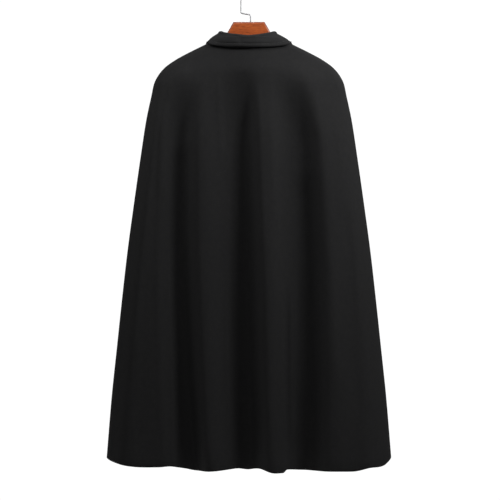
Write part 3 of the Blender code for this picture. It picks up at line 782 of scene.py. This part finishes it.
# %% Sizes of the hanger
WOOD_THICK = 0.012
WOOD_EDGE = 0.0050
WOOD_CLEARANCE = 0.0008
BLOCK_TOP_DROP = 0.079
ARM_TIP_DROP = 0.2080
ARM_TIP_RADIUS = 0.009
ARM_STEPS = 40
ARM_TIP_STEPS = 16
UNDERSIDE_SLOPE = 28.0
UNDERSIDE_STEPS = 36
BLOCK_SLOPE = (
    (0.0370, 0.0790),
    (0.0495, 0.1005),
    (0.0535, 0.1085),
    (0.0600, 0.1160),
    (0.0715, 0.1208),
)
ARM_START_DROP = NECK_POINT_DROP + 0.0005
UNDERSIDE = ((0.0, 0.140), (0.050, 0.148), (0.100, 0.166), (0.150, 0.190))
WIRE = 0.0036
SOCKET_DEPTH = 0.022
SOCKET_CLEARANCE = 0.0004


def hanger_half_outline():
    """The wood's outline on the +X side, from the top of the block round the arm to the underside."""
    outline = list(BLOCK_SLOPE)
    inset = CLOTH + WOOD_CLEARANCE
    for k in range(ARM_STEPS + 1):
        drop = ARM_START_DROP + (ARM_TIP_DROP - ARM_START_DROP) * k / ARM_STEPS
        slant = float(seam_slant(drop))
        half = float(section("half_width", drop))
        fall = math.sqrt(max(1 - slant**2, 0.0))
        outline.append((half - inset * slant, drop + inset * fall))
    (x0, d0), (x1, d1) = outline[-2:]
    heading = math.atan2(d1 - d0, x1 - x0)
    centre = (x1 - ARM_TIP_RADIUS * math.sin(heading), d1 + ARM_TIP_RADIUS * math.cos(heading))
    under_from = math.radians(180 + UNDERSIDE_SLOPE)
    for k in range(1, ARM_TIP_STEPS + 1):
        now = heading + (under_from - heading) * k / ARM_TIP_STEPS
        x = centre[0] + ARM_TIP_RADIUS * math.sin(now)
        outline.append((x, centre[1] - ARM_TIP_RADIUS * math.cos(now)))
    tip_x, tip_drop = outline[-1]
    places = [x for x, _ in UNDERSIDE] + [tip_x]
    heights = [d for _, d in UNDERSIDE] + [tip_drop]
    for k in range(UNDERSIDE_STEPS - 1, 0, -1):
        x = tip_x * k / UNDERSIDE_STEPS
        outline.append((x, float(smooth_curve(places, heights, x))))
    return outline


# %% Hanger
def converted(curve_object):
    """A curve object made a mesh in its place, its doubles merged and its faces turned outwards."""
    activate(curve_object)
    bpy.ops.object.convert(target="MESH")
    bpy.ops.object.transform_apply(location=True, rotation=True, scale=True)
    bpy.ops.object.mode_set(mode="EDIT")
    bpy.ops.mesh.select_all(action="SELECT")
    bpy.ops.mesh.remove_doubles(threshold=0.00001)
    bpy.ops.mesh.normals_make_consistent(inside=False)
    bpy.ops.object.mode_set(mode="OBJECT")
    return bpy.context.object


def curve_object(name, dimensions, path, closed):
    """A curve of straight pieces through the path, as an object."""
    curve = bpy.data.curves.new(name, "CURVE")
    curve.dimensions = dimensions
    spline = curve.splines.new("POLY")
    spline.points.add(len(path) - 1)
    for point, place in zip(spline.points, path):
        point.co = (*place, 1.0)
    spline.use_cyclic_u = closed
    obj = bpy.data.objects.new(name, curve)
    bpy.context.scene.collection.objects.link(obj)
    return obj


right_half = hanger_half_outline()
left_half = [(-x, drop) for x, drop in reversed(right_half)]
outline = right_half + [(0.0, UNDERSIDE[0][1])] + left_half
hanger = curve_object("hanger_wood", "2D", [(x, -drop, 0.0) for x, drop in outline], True)
hanger.data.fill_mode = "BOTH"
hanger.data.extrude = WOOD_THICK / 2 - WOOD_EDGE
hanger.data.bevel_depth = WOOD_EDGE
hanger.data.offset = -WOOD_EDGE
hanger.data.bevel_resolution = 5
hanger.rotation_euler = (math.radians(90), 0.0, 0.0)
hanger = converted(hanger)

deselect()
bpy.ops.mesh.primitive_cylinder_add(
    vertices=32,
    radius=WIRE / 2 + SOCKET_CLEARANCE,
    depth=2 * SOCKET_DEPTH,
    location=(-GARMENT_SHIFT, 0, -BLOCK_TOP_DROP),
)
bore = bpy.context.object
socket = hanger.modifiers.new("hook socket", "BOOLEAN")
socket.operation = "DIFFERENCE"
socket.solver = "EXACT"
socket.object = bore
apply_modifiers(hanger)
bpy.data.objects.remove(bore, do_unlink=True)
activate(hanger)
bpy.ops.object.shade_smooth_by_angle(angle=math.radians(40))
print("hanger_wood: %d faces" % len(hanger.data.polygons))

# %% [markdown]
# ## The hook
#
# The hook is one length of steel wire: it rises from the block, jogs to the left and turns over
# in a round hook with a blunt tip. A curve with a round bevel gives it directly.

# %% Hook
HOOK_INNER_RADIUS = 0.021
HOOK_JOG_DROP = 0.0612
HOOK_JOG_RISE = 0.0025
HOOK_BEND = 0.004
HOOK_SWEEP = 178.0
HOOK_TIP = 0.004
HOOK_ARC_STEPS = 48
HOOK_BEND_STEPS = 10
HOOK_TIP_RADII = (1.0, 0.97, 0.88, 0.70, 0.40)


def arc(centre, radius, start, end, steps):
    """Points along an arc in the hanger's plane. Angles are from +X, turning up."""
    turns = [math.radians(start + (end - start) * k / steps) for k in range(steps + 1)]
    return [(centre[0] + radius * math.cos(t), centre[1] + radius * math.sin(t)) for t in turns]


def hook_path():
    """The middle of the wire, as places across and up."""
    radius = HOOK_INNER_RADIUS + WIRE / 2
    foot = -(BLOCK_TOP_DROP + SOCKET_DEPTH - SOCKET_CLEARANCE - 0.001)
    jog = -HOOK_JOG_DROP
    path = [(0.0, foot), (0.0, (foot + jog) / 2)]
    path += arc((-HOOK_BEND, jog - HOOK_BEND), HOOK_BEND, 0, 90, HOOK_BEND_STEPS)
    path += arc((-radius + HOOK_BEND, jog + HOOK_JOG_RISE + HOOK_BEND), HOOK_BEND, 270, 180, HOOK_BEND_STEPS)
    path += arc((0.0, -HOOK_INNER_RADIUS), radius, 180, 180 - HOOK_SWEEP, HOOK_ARC_STEPS)
    end = math.radians(180 - HOOK_SWEEP)
    last = path[-1]
    rounding = WIRE / 2
    straight = HOOK_TIP - rounding
    for length in [straight] + [straight + rounding * s for s in (0.3, 0.6, 0.85, 1.0)]:
        path.append((last[0] + length * math.sin(end), last[1] - length * math.cos(end)))
    return path


hook = curve_object("hook_wire", "3D", [(x, 0.0, z) for x, z in hook_path()], False)
hook.data.bevel_depth = WIRE / 2
hook.data.bevel_resolution = 6
hook.data.use_fill_caps = True
for point, radius in zip(hook.data.splines[0].points[-len(HOOK_TIP_RADII):], HOOK_TIP_RADII):
    point.radius = radius
hook = converted(hook)
activate(hook)
bpy.ops.object.shade_smooth_by_angle(angle=math.radians(50))
print("hook_wire: %d faces" % len(hook.data.polygons))

# %% [markdown]
# ## The button
#
# A coat button is turned from a disc: a raised rim, a shallow well and four sewing holes. It is
# modelled flat as a cylinder, whose top face is inset and pushed down, then its edges are
# bevelled, the holes are cut, and it is set on the front at the neck.

# %% Button
BUTTON_DROP = 0.222
BUTTON_RADIUS = 0.011
BUTTON_THICK = 0.0036
BUTTON_RIM = 0.0018
BUTTON_WELL = 0.0009
BUTTON_WELL_SLOPE = 0.0009
BUTTON_ROUNDING = 0.00045
BUTTON_HOLE_RADIUS = 0.0011
BUTTON_HOLE_SPACING = 0.0019
BUTTON_STAND_OFF = 0.0006

deselect()
bpy.ops.mesh.primitive_cylinder_add(vertices=72, radius=BUTTON_RADIUS, depth=BUTTON_THICK)
button = bpy.context.object
button.name = button.data.name = "neck_button"
bpy.ops.object.mode_set(mode="EDIT")
bpy.ops.mesh.select_all(action="DESELECT")
bpy.ops.object.mode_set(mode="OBJECT")
for face in button.data.polygons:
    face.select = face.normal.z > 0.9
bpy.ops.object.mode_set(mode="EDIT")
bpy.ops.mesh.select_mode(type="FACE")
bpy.ops.mesh.inset(thickness=BUTTON_RIM, depth=0.0)
bpy.ops.mesh.inset(thickness=BUTTON_WELL_SLOPE, depth=-BUTTON_WELL)
bpy.ops.object.mode_set(mode="OBJECT")
softened = button.modifiers.new("turned edges", "BEVEL")
softened.width = BUTTON_ROUNDING
softened.segments = 3
softened.limit_method = "ANGLE"
softened.angle_limit = math.radians(30)
for k in range(4):
    quarter = math.radians(45 + 90 * k)
    place = (BUTTON_HOLE_SPACING * math.cos(quarter), BUTTON_HOLE_SPACING * math.sin(quarter), 0.0)
    deselect()
    bpy.ops.mesh.primitive_cylinder_add(
        vertices=24, radius=BUTTON_HOLE_RADIUS, depth=3 * BUTTON_THICK, location=place
    )
    drill = bpy.context.object
    hole = button.modifiers.new("sewing hole", "BOOLEAN")
    hole.operation = "DIFFERENCE"
    hole.solver = "EXACT"
    hole.object = drill
    apply_modifiers(button)
    bpy.data.objects.remove(drill, do_unlink=True)

button_normal = Vector(panel_normal(0.0, BUTTON_DROP, False))
button_middle = Vector(panel_point(0.0, BUTTON_DROP, False))
button_middle += (LAP_LIFT + BUTTON_STAND_OFF + BUTTON_THICK / 2) * button_normal
button_place = Matrix.Translation(button_middle) @ button_normal.to_track_quat("Z", "Y").to_matrix().to_4x4()
button.data.transform(button_place)
activate(button)
bpy.ops.object.shade_smooth_by_angle(angle=math.radians(35))
print("neck_button: %d faces" % len(button.data.polygons))

# %% [markdown]
# ## Stitches
#
# The collar's edge and the front's edge are sewn down with a row of stitches, the buttonhole is
# whipped all round, and the button is sewn on through its holes. A stitch is modelled once, as
# a short plump thread with its ends pulled in, and copied along a path. Each copy lies along
# the path, with its back to the cloth.

# %% One stitch, copied along a path
STITCH_LENGTH = 0.0030
STITCH_PITCH = 0.0037
THREAD = 0.00055
STITCH_LIFT = 0.15


def stitch_shape():
    """One stitch along X, its back at Z 0: the points and the faces."""
    deselect()
    bpy.ops.mesh.primitive_uv_sphere_add(segments=8, ring_count=6, radius=0.5)
    ball = bpy.context.object
    bpy.ops.object.mode_set(mode="EDIT")
    bpy.ops.mesh.select_all(action="SELECT")
    bpy.ops.transform.rotate(value=math.radians(90), orient_axis="Y", center_override=(0, 0, 0))
    bpy.ops.object.mode_set(mode="OBJECT")
    verts = np.array([tuple(vert.co) for vert in ball.data.vertices])
    faces = [tuple(poly.vertices) for poly in ball.data.polygons]
    bpy.data.objects.remove(ball, do_unlink=True)
    return verts, faces


STITCH_VERTS, STITCH_FACES = stitch_shape()


def sew(name, places):
    """A row of stitches: places holds middle, direction, outward normal, length and width of each."""
    verts = []
    faces = []
    for middle, along, out, length, width in places:
        along = np.asarray(along) / np.linalg.norm(along)
        out = np.asarray(out) - np.dot(out, along) * along
        out /= np.linalg.norm(out)
        across = np.cross(out, along)
        start = len(verts)
        for x, y, z in STITCH_VERTS:
            lifted = width * z + STITCH_LIFT * width
            verts.append(middle + length * x * along + width * y * across + lifted * out)
        faces += [tuple(start + v for v in face) for face in STITCH_FACES]
    mesh = bpy.data.meshes.new(name)
    mesh.from_pydata([tuple(v) for v in verts], [], faces)
    mesh.validate()
    mesh.shade_smooth()
    row = bpy.data.objects.new(name, mesh)
    bpy.context.scene.collection.objects.link(row)
    print("%s: %d stitches" % (name, len(places)))
    return row


def along_path(path, outs, pitch, length, width):
    """Evenly spaced stitches on a path of points with their outward normals."""
    path = np.asarray(path)
    outs = np.asarray(outs)
    run = np.concatenate(([0.0], np.cumsum(np.linalg.norm(np.diff(path, axis=0), axis=1))))
    places = []
    for at in np.arange(pitch / 2, run[-1] - pitch / 2, pitch):
        middle = np.array([np.interp(at, run, path[:, k]) for k in range(3)])
        ahead = np.array([np.interp(at + length / 3, run, path[:, k]) for k in range(3)])
        behind = np.array([np.interp(at - length / 3, run, path[:, k]) for k in range(3)])
        out = np.array([np.interp(at, run, outs[:, k]) for k in range(3)])
        places.append((middle, ahead - behind, out, length, width))
    return places


# %% Stitches of the collar
def surface_frame(points):
    """Unit normals of a grid of points."""
    down = np.gradient(points, axis=0)
    across = np.gradient(points, axis=1)
    normals = np.cross(down, across)
    return normals / np.linalg.norm(normals, axis=2, keepdims=True)


collar_normals = surface_frame(collar_points)
steps_to_groove = round(FALL_STEPS * RIM_WIDTH * GROOVE_MIDDLE / FALL_LENGTH)
stitch_column = STAND_STEPS + ROLL_STEPS + FALL_STEPS - steps_to_groove
stitch_path = collar_points[:, stitch_column]
outwards = collar_normals[:, stitch_column]
middle_row = COLLAR_ROWS // 2
if outwards[middle_row][1] > 0:
    outwards = -outwards
stitch_path = stitch_path + (COLLAR_CLOTH / 2) * outwards
collar_places = along_path(stitch_path, outwards, STITCH_PITCH, STITCH_LENGTH, THREAD)
collar_stitches = sew("collar_stitches", collar_places)

# %% Stitches of the front edge
FRONT_STITCH_INSET = 0.007
FRONT_STITCH_START = 0.01
FRONT_STITCH_END = 0.004


def on_front(x, end_drop):
    """A point of the left front's outer face and its normal."""
    drop = float(row_drop(end_drop, x, "front"))
    normal = panel_normal(x, drop, False)
    relief = float(crease_relief(x, drop, FRONT_CREASES) + slow_waves(x, drop, FRONT_LEFT_WAVES))
    relief *= float(away_from_neck(end_drop))
    lift = np.array([0.0, SEAM_GAP / 2 + float(lap_lift(x, "front_left")) + relief, 0.0])
    return panel_point(x, drop, False) + lift, normal


edge_x = FRONT_LAP - FRONT_STITCH_INSET
first_drop = NECK_POINT_DROP + FRONT_STITCH_START
edge_drops = np.linspace(first_drop, HEM_CORNER_DROP - FRONT_STITCH_END, 300)
edge_points, edge_normals = zip(*[on_front(edge_x, drop) for drop in edge_drops])
front_places = along_path(edge_points, edge_normals, STITCH_PITCH, STITCH_LENGTH, THREAD)
front_stitches = sew("front_edge_stitches", front_places)

# %% Buttonhole and the button's thread
BUTTONHOLE_INNER = -0.0235
BUTTONHOLE_OUTER = 0.0020
BUTTONHOLE_PITCH = 0.0007
BUTTONHOLE_BITE = 0.0022
BUTTONHOLE_SIDE = 0.0013
BUTTONHOLE_THREAD = 0.0007
BUTTONHOLE_LIFT = 0.0002
BAR_BEYOND = 0.0005
BAR_LIFT = 0.0004
BAR_LENGTH = 0.0048
BAR_THREAD = 0.0010
BUTTON_THREAD_SIDE = 0.00025
BUTTON_THREAD_LIFT = 0.0001
BUTTON_THREAD_LENGTH = 0.0040
BUTTON_THREAD = 0.0006

down_dir = np.array([0.0, 0.0, -1.0])
whipping = []
for x in np.arange(BUTTONHOLE_INNER, BUTTONHOLE_OUTER, BUTTONHOLE_PITCH):
    lift = SEAM_GAP / 2 + float(lap_lift(x, "front_left")) + BUTTONHOLE_LIFT
    middle = panel_point(x, BUTTON_DROP, False) + np.array([0.0, lift, 0.0])
    normal = panel_normal(x, BUTTON_DROP, False)
    for way in (-1, 1):
        place = middle + way * BUTTONHOLE_SIDE * down_dir
        whipping.append((place, down_dir, normal, BUTTONHOLE_BITE, BUTTONHOLE_THREAD))
end_middle = panel_point(BUTTONHOLE_INNER - BAR_BEYOND, BUTTON_DROP, False)
end_middle = end_middle + np.array([0.0, SEAM_GAP / 2 + LAP_LIFT + BAR_LIFT, 0.0])
end_normal = panel_normal(BUTTONHOLE_INNER, BUTTON_DROP, False)
whipping.append((end_middle, down_dir, end_normal, BAR_LENGTH, BAR_THREAD))
buttonhole = sew("buttonhole_stitches", whipping)

threads = []
well = BUTTON_THICK / 2 - BUTTON_WELL
for way in (-1, 1):
    for side in (-BUTTON_THREAD_SIDE, BUTTON_THREAD_SIDE):
        offset = way * BUTTON_HOLE_SPACING / math.sqrt(2) + side
        middle = np.array(button_place @ Vector((0.0, offset, well + BUTTON_THREAD_LIFT)))
        direction = np.array(button_place.to_3x3() @ Vector((1.0, 0.0, 0.0)))
        threads.append((middle, direction, np.array(button_normal), BUTTON_THREAD_LENGTH, BUTTON_THREAD))
button_thread = sew("button_thread", threads)

# %% [markdown]
# ## Finishes
#
# Milled wool is fulled until its weave all but vanishes under a short nap, so it is very dark
# and has no gloss. Its finish is built from small to large: a bump of fine fibres combed
# downwards, the faint diagonal of the twill beneath, a mottle in the colour, and here and there
# a paler fibre. All of it reads Object coordinates, so it is at its real size on every piece.

# %% Material helpers
BAND_SCALE = 0.314


def new_material(name):
    """A material with its node tree and shader."""
    made = bpy.data.materials.new(name)
    made.use_nodes = True
    return made, made.node_tree, made.node_tree.nodes["Principled BSDF"]


def add_node(tree, kind, **settings):
    """A node with its settings and the default values of its inputs."""
    node = tree.nodes.new(kind)
    for key, value in settings.items():
        if key in node.inputs:
            node.inputs[key].default_value = value
        else:
            setattr(node, key, value)
    return node


def object_places(tree, scale=(1.0, 1.0, 1.0), turn=(0.0, 0.0, 0.0)):
    """Object coordinates, stretched and turned."""
    coordinates = tree.nodes.new("ShaderNodeTexCoord")
    mapping = tree.nodes.new("ShaderNodeMapping")
    mapping.inputs["Scale"].default_value = scale
    mapping.inputs["Rotation"].default_value = [math.radians(angle) for angle in turn]
    tree.links.new(coordinates.outputs["Object"], mapping.inputs["Vector"])
    return mapping.outputs["Vector"]


def ramp_between(tree, factor, stops):
    """A colour ramp through stops of place and colour."""
    ramp = tree.nodes.new("ShaderNodeValToRGB")
    elements = ramp.color_ramp.elements
    while len(elements) < len(stops):
        elements.new(0.5)
    for element, (place, colour) in zip(elements, stops):
        element.position = place
        element.color = (*colour, 1.0)
    tree.links.new(factor, ramp.inputs["Fac"])
    return ramp.outputs["Color"]


def add_bump(tree, height, strength, distance, below=None):
    """A bump on top of the one below it."""
    bump = add_node(tree, "ShaderNodeBump", Strength=strength, Distance=distance)
    tree.links.new(height, bump.inputs["Height"])
    if below is not None:
        tree.links.new(below, bump.inputs["Normal"])
    return bump.outputs["Normal"]


def set_values(shader, values):
    """Sets the shader's inputs by name."""
    for name, value in values.items():
        shader.inputs[name].default_value = value


def noise(tree, places, scale, detail, roughness, distortion=0.0):
    """The grey value of a noise texture at the places."""
    texture = add_node(tree, "ShaderNodeTexNoise", Scale=scale, Detail=detail, Roughness=roughness)
    texture.inputs["Distortion"].default_value = distortion
    tree.links.new(places, texture.inputs["Vector"])
    return texture.outputs["Fac"]


def bands(tree, places, period, distortion):
    """The grey value of even bands across X, a little bent, one for each period."""
    texture = add_node(tree, "ShaderNodeTexWave", Detail=1.0, Distortion=distortion)
    texture.inputs["Scale"].default_value = BAND_SCALE / period
    tree.links.new(places, texture.inputs["Vector"])
    return texture.outputs["Fac"]


def mixed_colour(tree, first, second, factor, blend="MIX"):
    """Two colours mixed by a factor. Each of the three is a socket or a value."""
    mix = add_node(tree, "ShaderNodeMix", data_type="RGBA", blend_type=blend)
    colours = [socket for socket in mix.inputs if socket.type == "RGBA"]
    for socket, given in zip((mix.inputs[0], *colours), (factor, first, second)):
        if isinstance(given, bpy.types.NodeSocket):
            tree.links.new(given, socket)
        else:
            socket.default_value = given
    return [socket for socket in mix.outputs if socket.type == "RGBA"][0]


# %% Wool
TWILL_PERIOD = 0.0013
LINT_PALER = 3.2


def wool(name, dark, light):
    """Black milled wool, mottled between two tones."""
    made, tree, shader = new_material(name)
    combed = object_places(tree, (1.0, 1.0, 0.35))
    fibres = noise(tree, combed, 1500.0, 4.0, 0.65)
    clumps = noise(tree, combed, 260.0, 3.0, 0.6)
    mottle = noise(tree, object_places(tree), 110.0, 5.0, 0.7)
    lint = noise(tree, combed, 900.0, 2.0, 0.5)
    twill = bands(tree, object_places(tree, turn=(0.0, 38.0, 0.0)), TWILL_PERIOD, 1.6)
    tone = ramp_between(tree, mottle, ((0.30, dark), (0.72, light)))
    pale = tuple(LINT_PALER * value for value in light)
    flecks = ramp_between(tree, lint, ((0.70, (0, 0, 0)), (0.80, (1, 1, 1))))
    tree.links.new(mixed_colour(tree, tone, (*pale, 1.0), flecks), shader.inputs["Base Color"])
    normal = add_bump(tree, twill, 0.20, 0.00010)
    normal = add_bump(tree, clumps, 0.30, 0.00030, normal)
    normal = add_bump(tree, fibres, 0.35, 0.00015, normal)
    tree.links.new(normal, shader.inputs["Normal"])
    set_values(shader, {"Roughness": 0.95, "Specular IOR Level": 0.12})
    return made


black_wool = wool("black milled wool", (0.0074, 0.0074, 0.0077), (0.0100, 0.0099, 0.0101))
# The collar gets a paler copy of the same wool: painted light, for the fall that faces up.
collar_wool_painted_paler = wool("black collar wool", (0.0082, 0.0082, 0.0085), (0.0112, 0.0111, 0.0113))

# %% [markdown]
# The wood is stained orange-brown and varnished. Its grain runs along the arms, across the
# block, with fine dark pores, and its rounded edges are painted darker, a painted shade.

# %% Varnished wood
WOOD_STAIN = (
    (0.25, (0.21, 0.040, 0.006)),
    (0.52, (0.30, 0.060, 0.009)),
    (0.78, (0.39, 0.090, 0.014)),
)


def varnished_wood():
    """Orange-brown varnished wood, its grain along X, with painted shade on the rounded edges."""
    made, tree, shader = new_material("varnished wood")
    stretched = object_places(tree, (0.06, 1.0, 1.0))
    grain = noise(tree, stretched, 520.0, 6.0, 0.65, 0.3)
    pores = noise(tree, stretched, 1600.0, 2.0, 0.5)
    broad = noise(tree, stretched, 90.0, 3.0, 0.6)
    stain = ramp_between(tree, grain, WOOD_STAIN)
    warm = ramp_between(tree, broad, ((0.30, (0.82, 0.78, 0.74)), (0.70, (1.0, 1.0, 1.0))))
    dark_pores = ramp_between(tree, pores, ((0.34, (0.45, 0.38, 0.34)), (0.46, (1.0, 1.0, 1.0))))
    # The rounded rim, away from the flat faces, is painted darker here: a painted shade along the edges.
    split = tree.nodes.new("ShaderNodeSeparateXYZ")
    tree.links.new(object_places(tree), split.inputs["Vector"])
    depth = add_node(tree, "ShaderNodeMath", operation="ABSOLUTE")
    tree.links.new(split.outputs["Y"], depth.inputs[0])
    rim_shade_place = add_node(tree, "ShaderNodeMath", operation="DIVIDE")
    tree.links.new(depth.outputs[0], rim_shade_place.inputs[0])
    rim_shade_place.inputs[1].default_value = WOOD_THICK / 2
    edge = ramp_between(tree, rim_shade_place.outputs[0], ((0.75, (0.36, 0.28, 0.24)), (0.99, (1.0, 1.0, 1.0))))
    colour = stain
    for factor in (warm, dark_pores, edge):
        colour = mixed_colour(tree, colour, factor, 1.0, "MULTIPLY")
    tree.links.new(colour, shader.inputs["Base Color"])
    tree.links.new(add_bump(tree, grain, 0.15, 0.00015), shader.inputs["Normal"])
    set_values(shader, {"Roughness": 0.45, "Specular IOR Level": 0.3})
    set_values(shader, {"Coat Weight": 0.08, "Coat Roughness": 0.2})
    return made


# %% Steel, horn and thread
TWIST_PERIOD = 0.0006


def steel_wire():
    """Drawn steel wire with faint streaks along it and a little tarnish."""
    made, tree, shader = new_material("steel wire")
    streaks = noise(tree, object_places(tree, (1.0, 1.0, 0.08)), 2600.0, 3.0, 0.6)
    stains = noise(tree, object_places(tree), 240.0, 4.0, 0.6)
    colour = ramp_between(tree, stains, ((0.35, (0.30, 0.30, 0.31)), (0.65, (0.42, 0.42, 0.43))))
    tree.links.new(colour, shader.inputs["Base Color"])
    rough = add_node(tree, "ShaderNodeMapRange")
    set_values(rough, {"To Min": 0.42, "To Max": 0.62})
    tree.links.new(streaks, rough.inputs["Value"])
    tree.links.new(rough.outputs["Result"], shader.inputs["Roughness"])
    tree.links.new(add_bump(tree, streaks, 0.2, 0.00004), shader.inputs["Normal"])
    set_values(shader, {"Metallic": 1.0})
    return made


def black_horn():
    """A polished black button with soft brown-black clouds."""
    made, tree, shader = new_material("black button")
    clouds = noise(tree, object_places(tree, (1.0, 1.0, 0.5)), 420.0, 4.0, 0.6, 0.8)
    colour = ramp_between(tree, clouds, ((0.35, (0.006, 0.006, 0.006)), (0.70, (0.022, 0.018, 0.015))))
    tree.links.new(colour, shader.inputs["Base Color"])
    scuffs = noise(tree, object_places(tree), 2400.0, 2.0, 0.5)
    tree.links.new(add_bump(tree, scuffs, 0.08, 0.00005), shader.inputs["Normal"])
    set_values(shader, {"Roughness": 0.28, "Coat Weight": 0.3, "Coat Roughness": 0.1})
    return made


def black_thread():
    """Twisted sewing thread, a little shinier than the wool."""
    made, tree, shader = new_material("black thread")
    twist = bands(tree, object_places(tree, turn=(0.0, 35.0, 35.0)), TWIST_PERIOD, 0.5)
    colour = ramp_between(tree, twist, ((0.0, (0.008, 0.008, 0.008)), (1.0, (0.020, 0.020, 0.021))))
    tree.links.new(colour, shader.inputs["Base Color"])
    tree.links.new(add_bump(tree, twist, 0.4, 0.0001), shader.inputs["Normal"])
    set_values(shader, {"Roughness": 0.6, "Sheen Weight": 0.05})
    return made


# %% Every piece gets its finish and its body
thread = black_thread()
FINISHES = (
    (back, "back", black_wool, "cloth"),
    (front_left, "front_left", black_wool, "cloth"),
    (front_right, "front_right", black_wool, "cloth"),
    (collar, "collar", collar_wool_painted_paler, "collar_cloth"),
    (button, "button", black_horn(), "button"),
    (hanger, "hanger", varnished_wood(), "hanger_wood"),
    (hook, "hook", steel_wire(), "hook_wire"),
    (collar_stitches, None, thread, "collar_cloth"),
    (front_stitches, None, thread, "cloth"),
    (buttonhole, None, thread, "cloth"),
    (button_thread, None, thread, "button"),
)
for piece, node, finish, slot in FINISHES:
    if piece is not hook:
        piece.data.transform(Matrix.Translation((GARMENT_SHIFT, 0.0, 0.0)))
    piece.data.materials.clear()
    piece.data.materials.append(finish)
    if node is not None:
        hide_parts(node)
    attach(piece, "root")

# %% [markdown]
# ## The cloth's flat sizes
#
# Each panel is cut flat before it hangs, so its size is told as it lay on the cutting table:
# its own area, because none is a rectangle.

# %% Flat sizes
def cloth_area(piece):
    """The area of a wall's one side: half of its whole surface."""
    return sum(poly.area for poly in piece.data.polygons) / 2


for piece in (back, front_left, front_right, collar):
    print("%s: %.3f m2 of cloth" % (piece.name, cloth_area(piece)))

# %% [markdown]
# ## Floor and light
#
# The photo has a plain white ground. The floor lies where a room's floor would be below a
# clothes rail, and fades into a white surround. Small soft boxes stand beside the hanger, two at
# the right and a weaker one at the left, and rake across the folds, which darkens their troughs.
# Two larger boxes high above the back light the shoulders and fade towards the hem, and one far
# in front lights the side that the photo hides.

# %% Floor
FLOOR_DROP = 1.80
FLOOR_RADIUS = 3.6

deselect()
floor_place = (0, 0, -FLOOR_DROP)
bpy.ops.mesh.primitive_circle_add(vertices=96, radius=FLOOR_RADIUS, fill_type="NGON", location=floor_place)
floor = bpy.context.object
floor.name = floor.data.name = "floor"
floor_finish, _, floor_shader = new_material("pale floor")
floor_shader.inputs["Base Color"].default_value = (0.82, 0.82, 0.82, 1.0)
floor_shader.inputs["Roughness"].default_value = 0.7
floor.data.materials.append(floor_finish)

# %% Lights
def soft_box(name, place, target, width, height, power):
    """A rectangular soft light that points at the target."""
    lamp = bpy.data.lights.new(name, "AREA")
    lamp.shape = "RECTANGLE"
    lamp.size = width
    lamp.size_y = height
    lamp.energy = power
    box = bpy.data.objects.new(name, lamp)
    box.location = place
    box.rotation_euler = (Vector(target) - Vector(place)).to_track_quat("-Z", "Y").to_euler()
    box.visible_camera = False
    bpy.context.scene.collection.objects.link(box)
    return box


BACK_LIGHT_COLUMNS = ("name", "azimuth", "distance", "height", "width", "tall", "power")
BACK_LIGHTS = (
    ("left rim box", -78.0, 1.3, 0.6, 0.4, 0.4, 12.5),
    ("right box", 60.0, 1.3, 0.6, 0.4, 0.4, 32.0),
    ("right rim box", 80.0, 1.3, 0.6, 0.4, 0.4, 11.0),
    ("left box above the back", -30.0, 1.0, 1.6, 0.7, 0.5, 25.0),
    ("box above the back", 0.0, 1.0, 1.6, 0.7, 0.5, 17.0),
)
LIGHT_TARGET = (0.0, 0.0, -0.2)
for row in BACK_LIGHTS:
    light = dict(zip(BACK_LIGHT_COLUMNS, row))
    turn = math.radians(light["azimuth"])
    place = (light["distance"] * math.sin(turn), -light["distance"] * math.cos(turn), light["height"])
    soft_box(light["name"], place, LIGHT_TARGET, light["width"], light["tall"], light["power"])
soft_box("front light", (-0.4, 3.0, 0.8), (0.0, 0.0, -0.5), 1.0, 1.0, 105.0)

# %% Surround
world = bpy.data.worlds.new("white surround")
bpy.context.scene.world = world
world.use_nodes = True
sky = world.node_tree.nodes["Background"]
paper = world.node_tree.nodes.new("ShaderNodeBackground")
paper.inputs["Color"].default_value = (1.0, 1.0, 1.0, 1.0)
paper.inputs["Strength"].default_value = 1.05
sky.inputs["Color"].default_value = (1.0, 1.0, 1.0, 1.0)
sky.inputs["Strength"].default_value = 0.02
seen = world.node_tree.nodes.new("ShaderNodeLightPath")
choice = world.node_tree.nodes.new("ShaderNodeMixShader")
world.node_tree.links.new(seen.outputs["Is Camera Ray"], choice.inputs["Fac"])
world.node_tree.links.new(sky.outputs["Background"], choice.inputs[1])
world.node_tree.links.new(paper.outputs["Background"], choice.inputs[2])
world.node_tree.links.new(choice.outputs["Shader"], world.node_tree.nodes["World Output"].inputs["Surface"])
bpy.context.scene.view_settings.view_transform = "Standard"
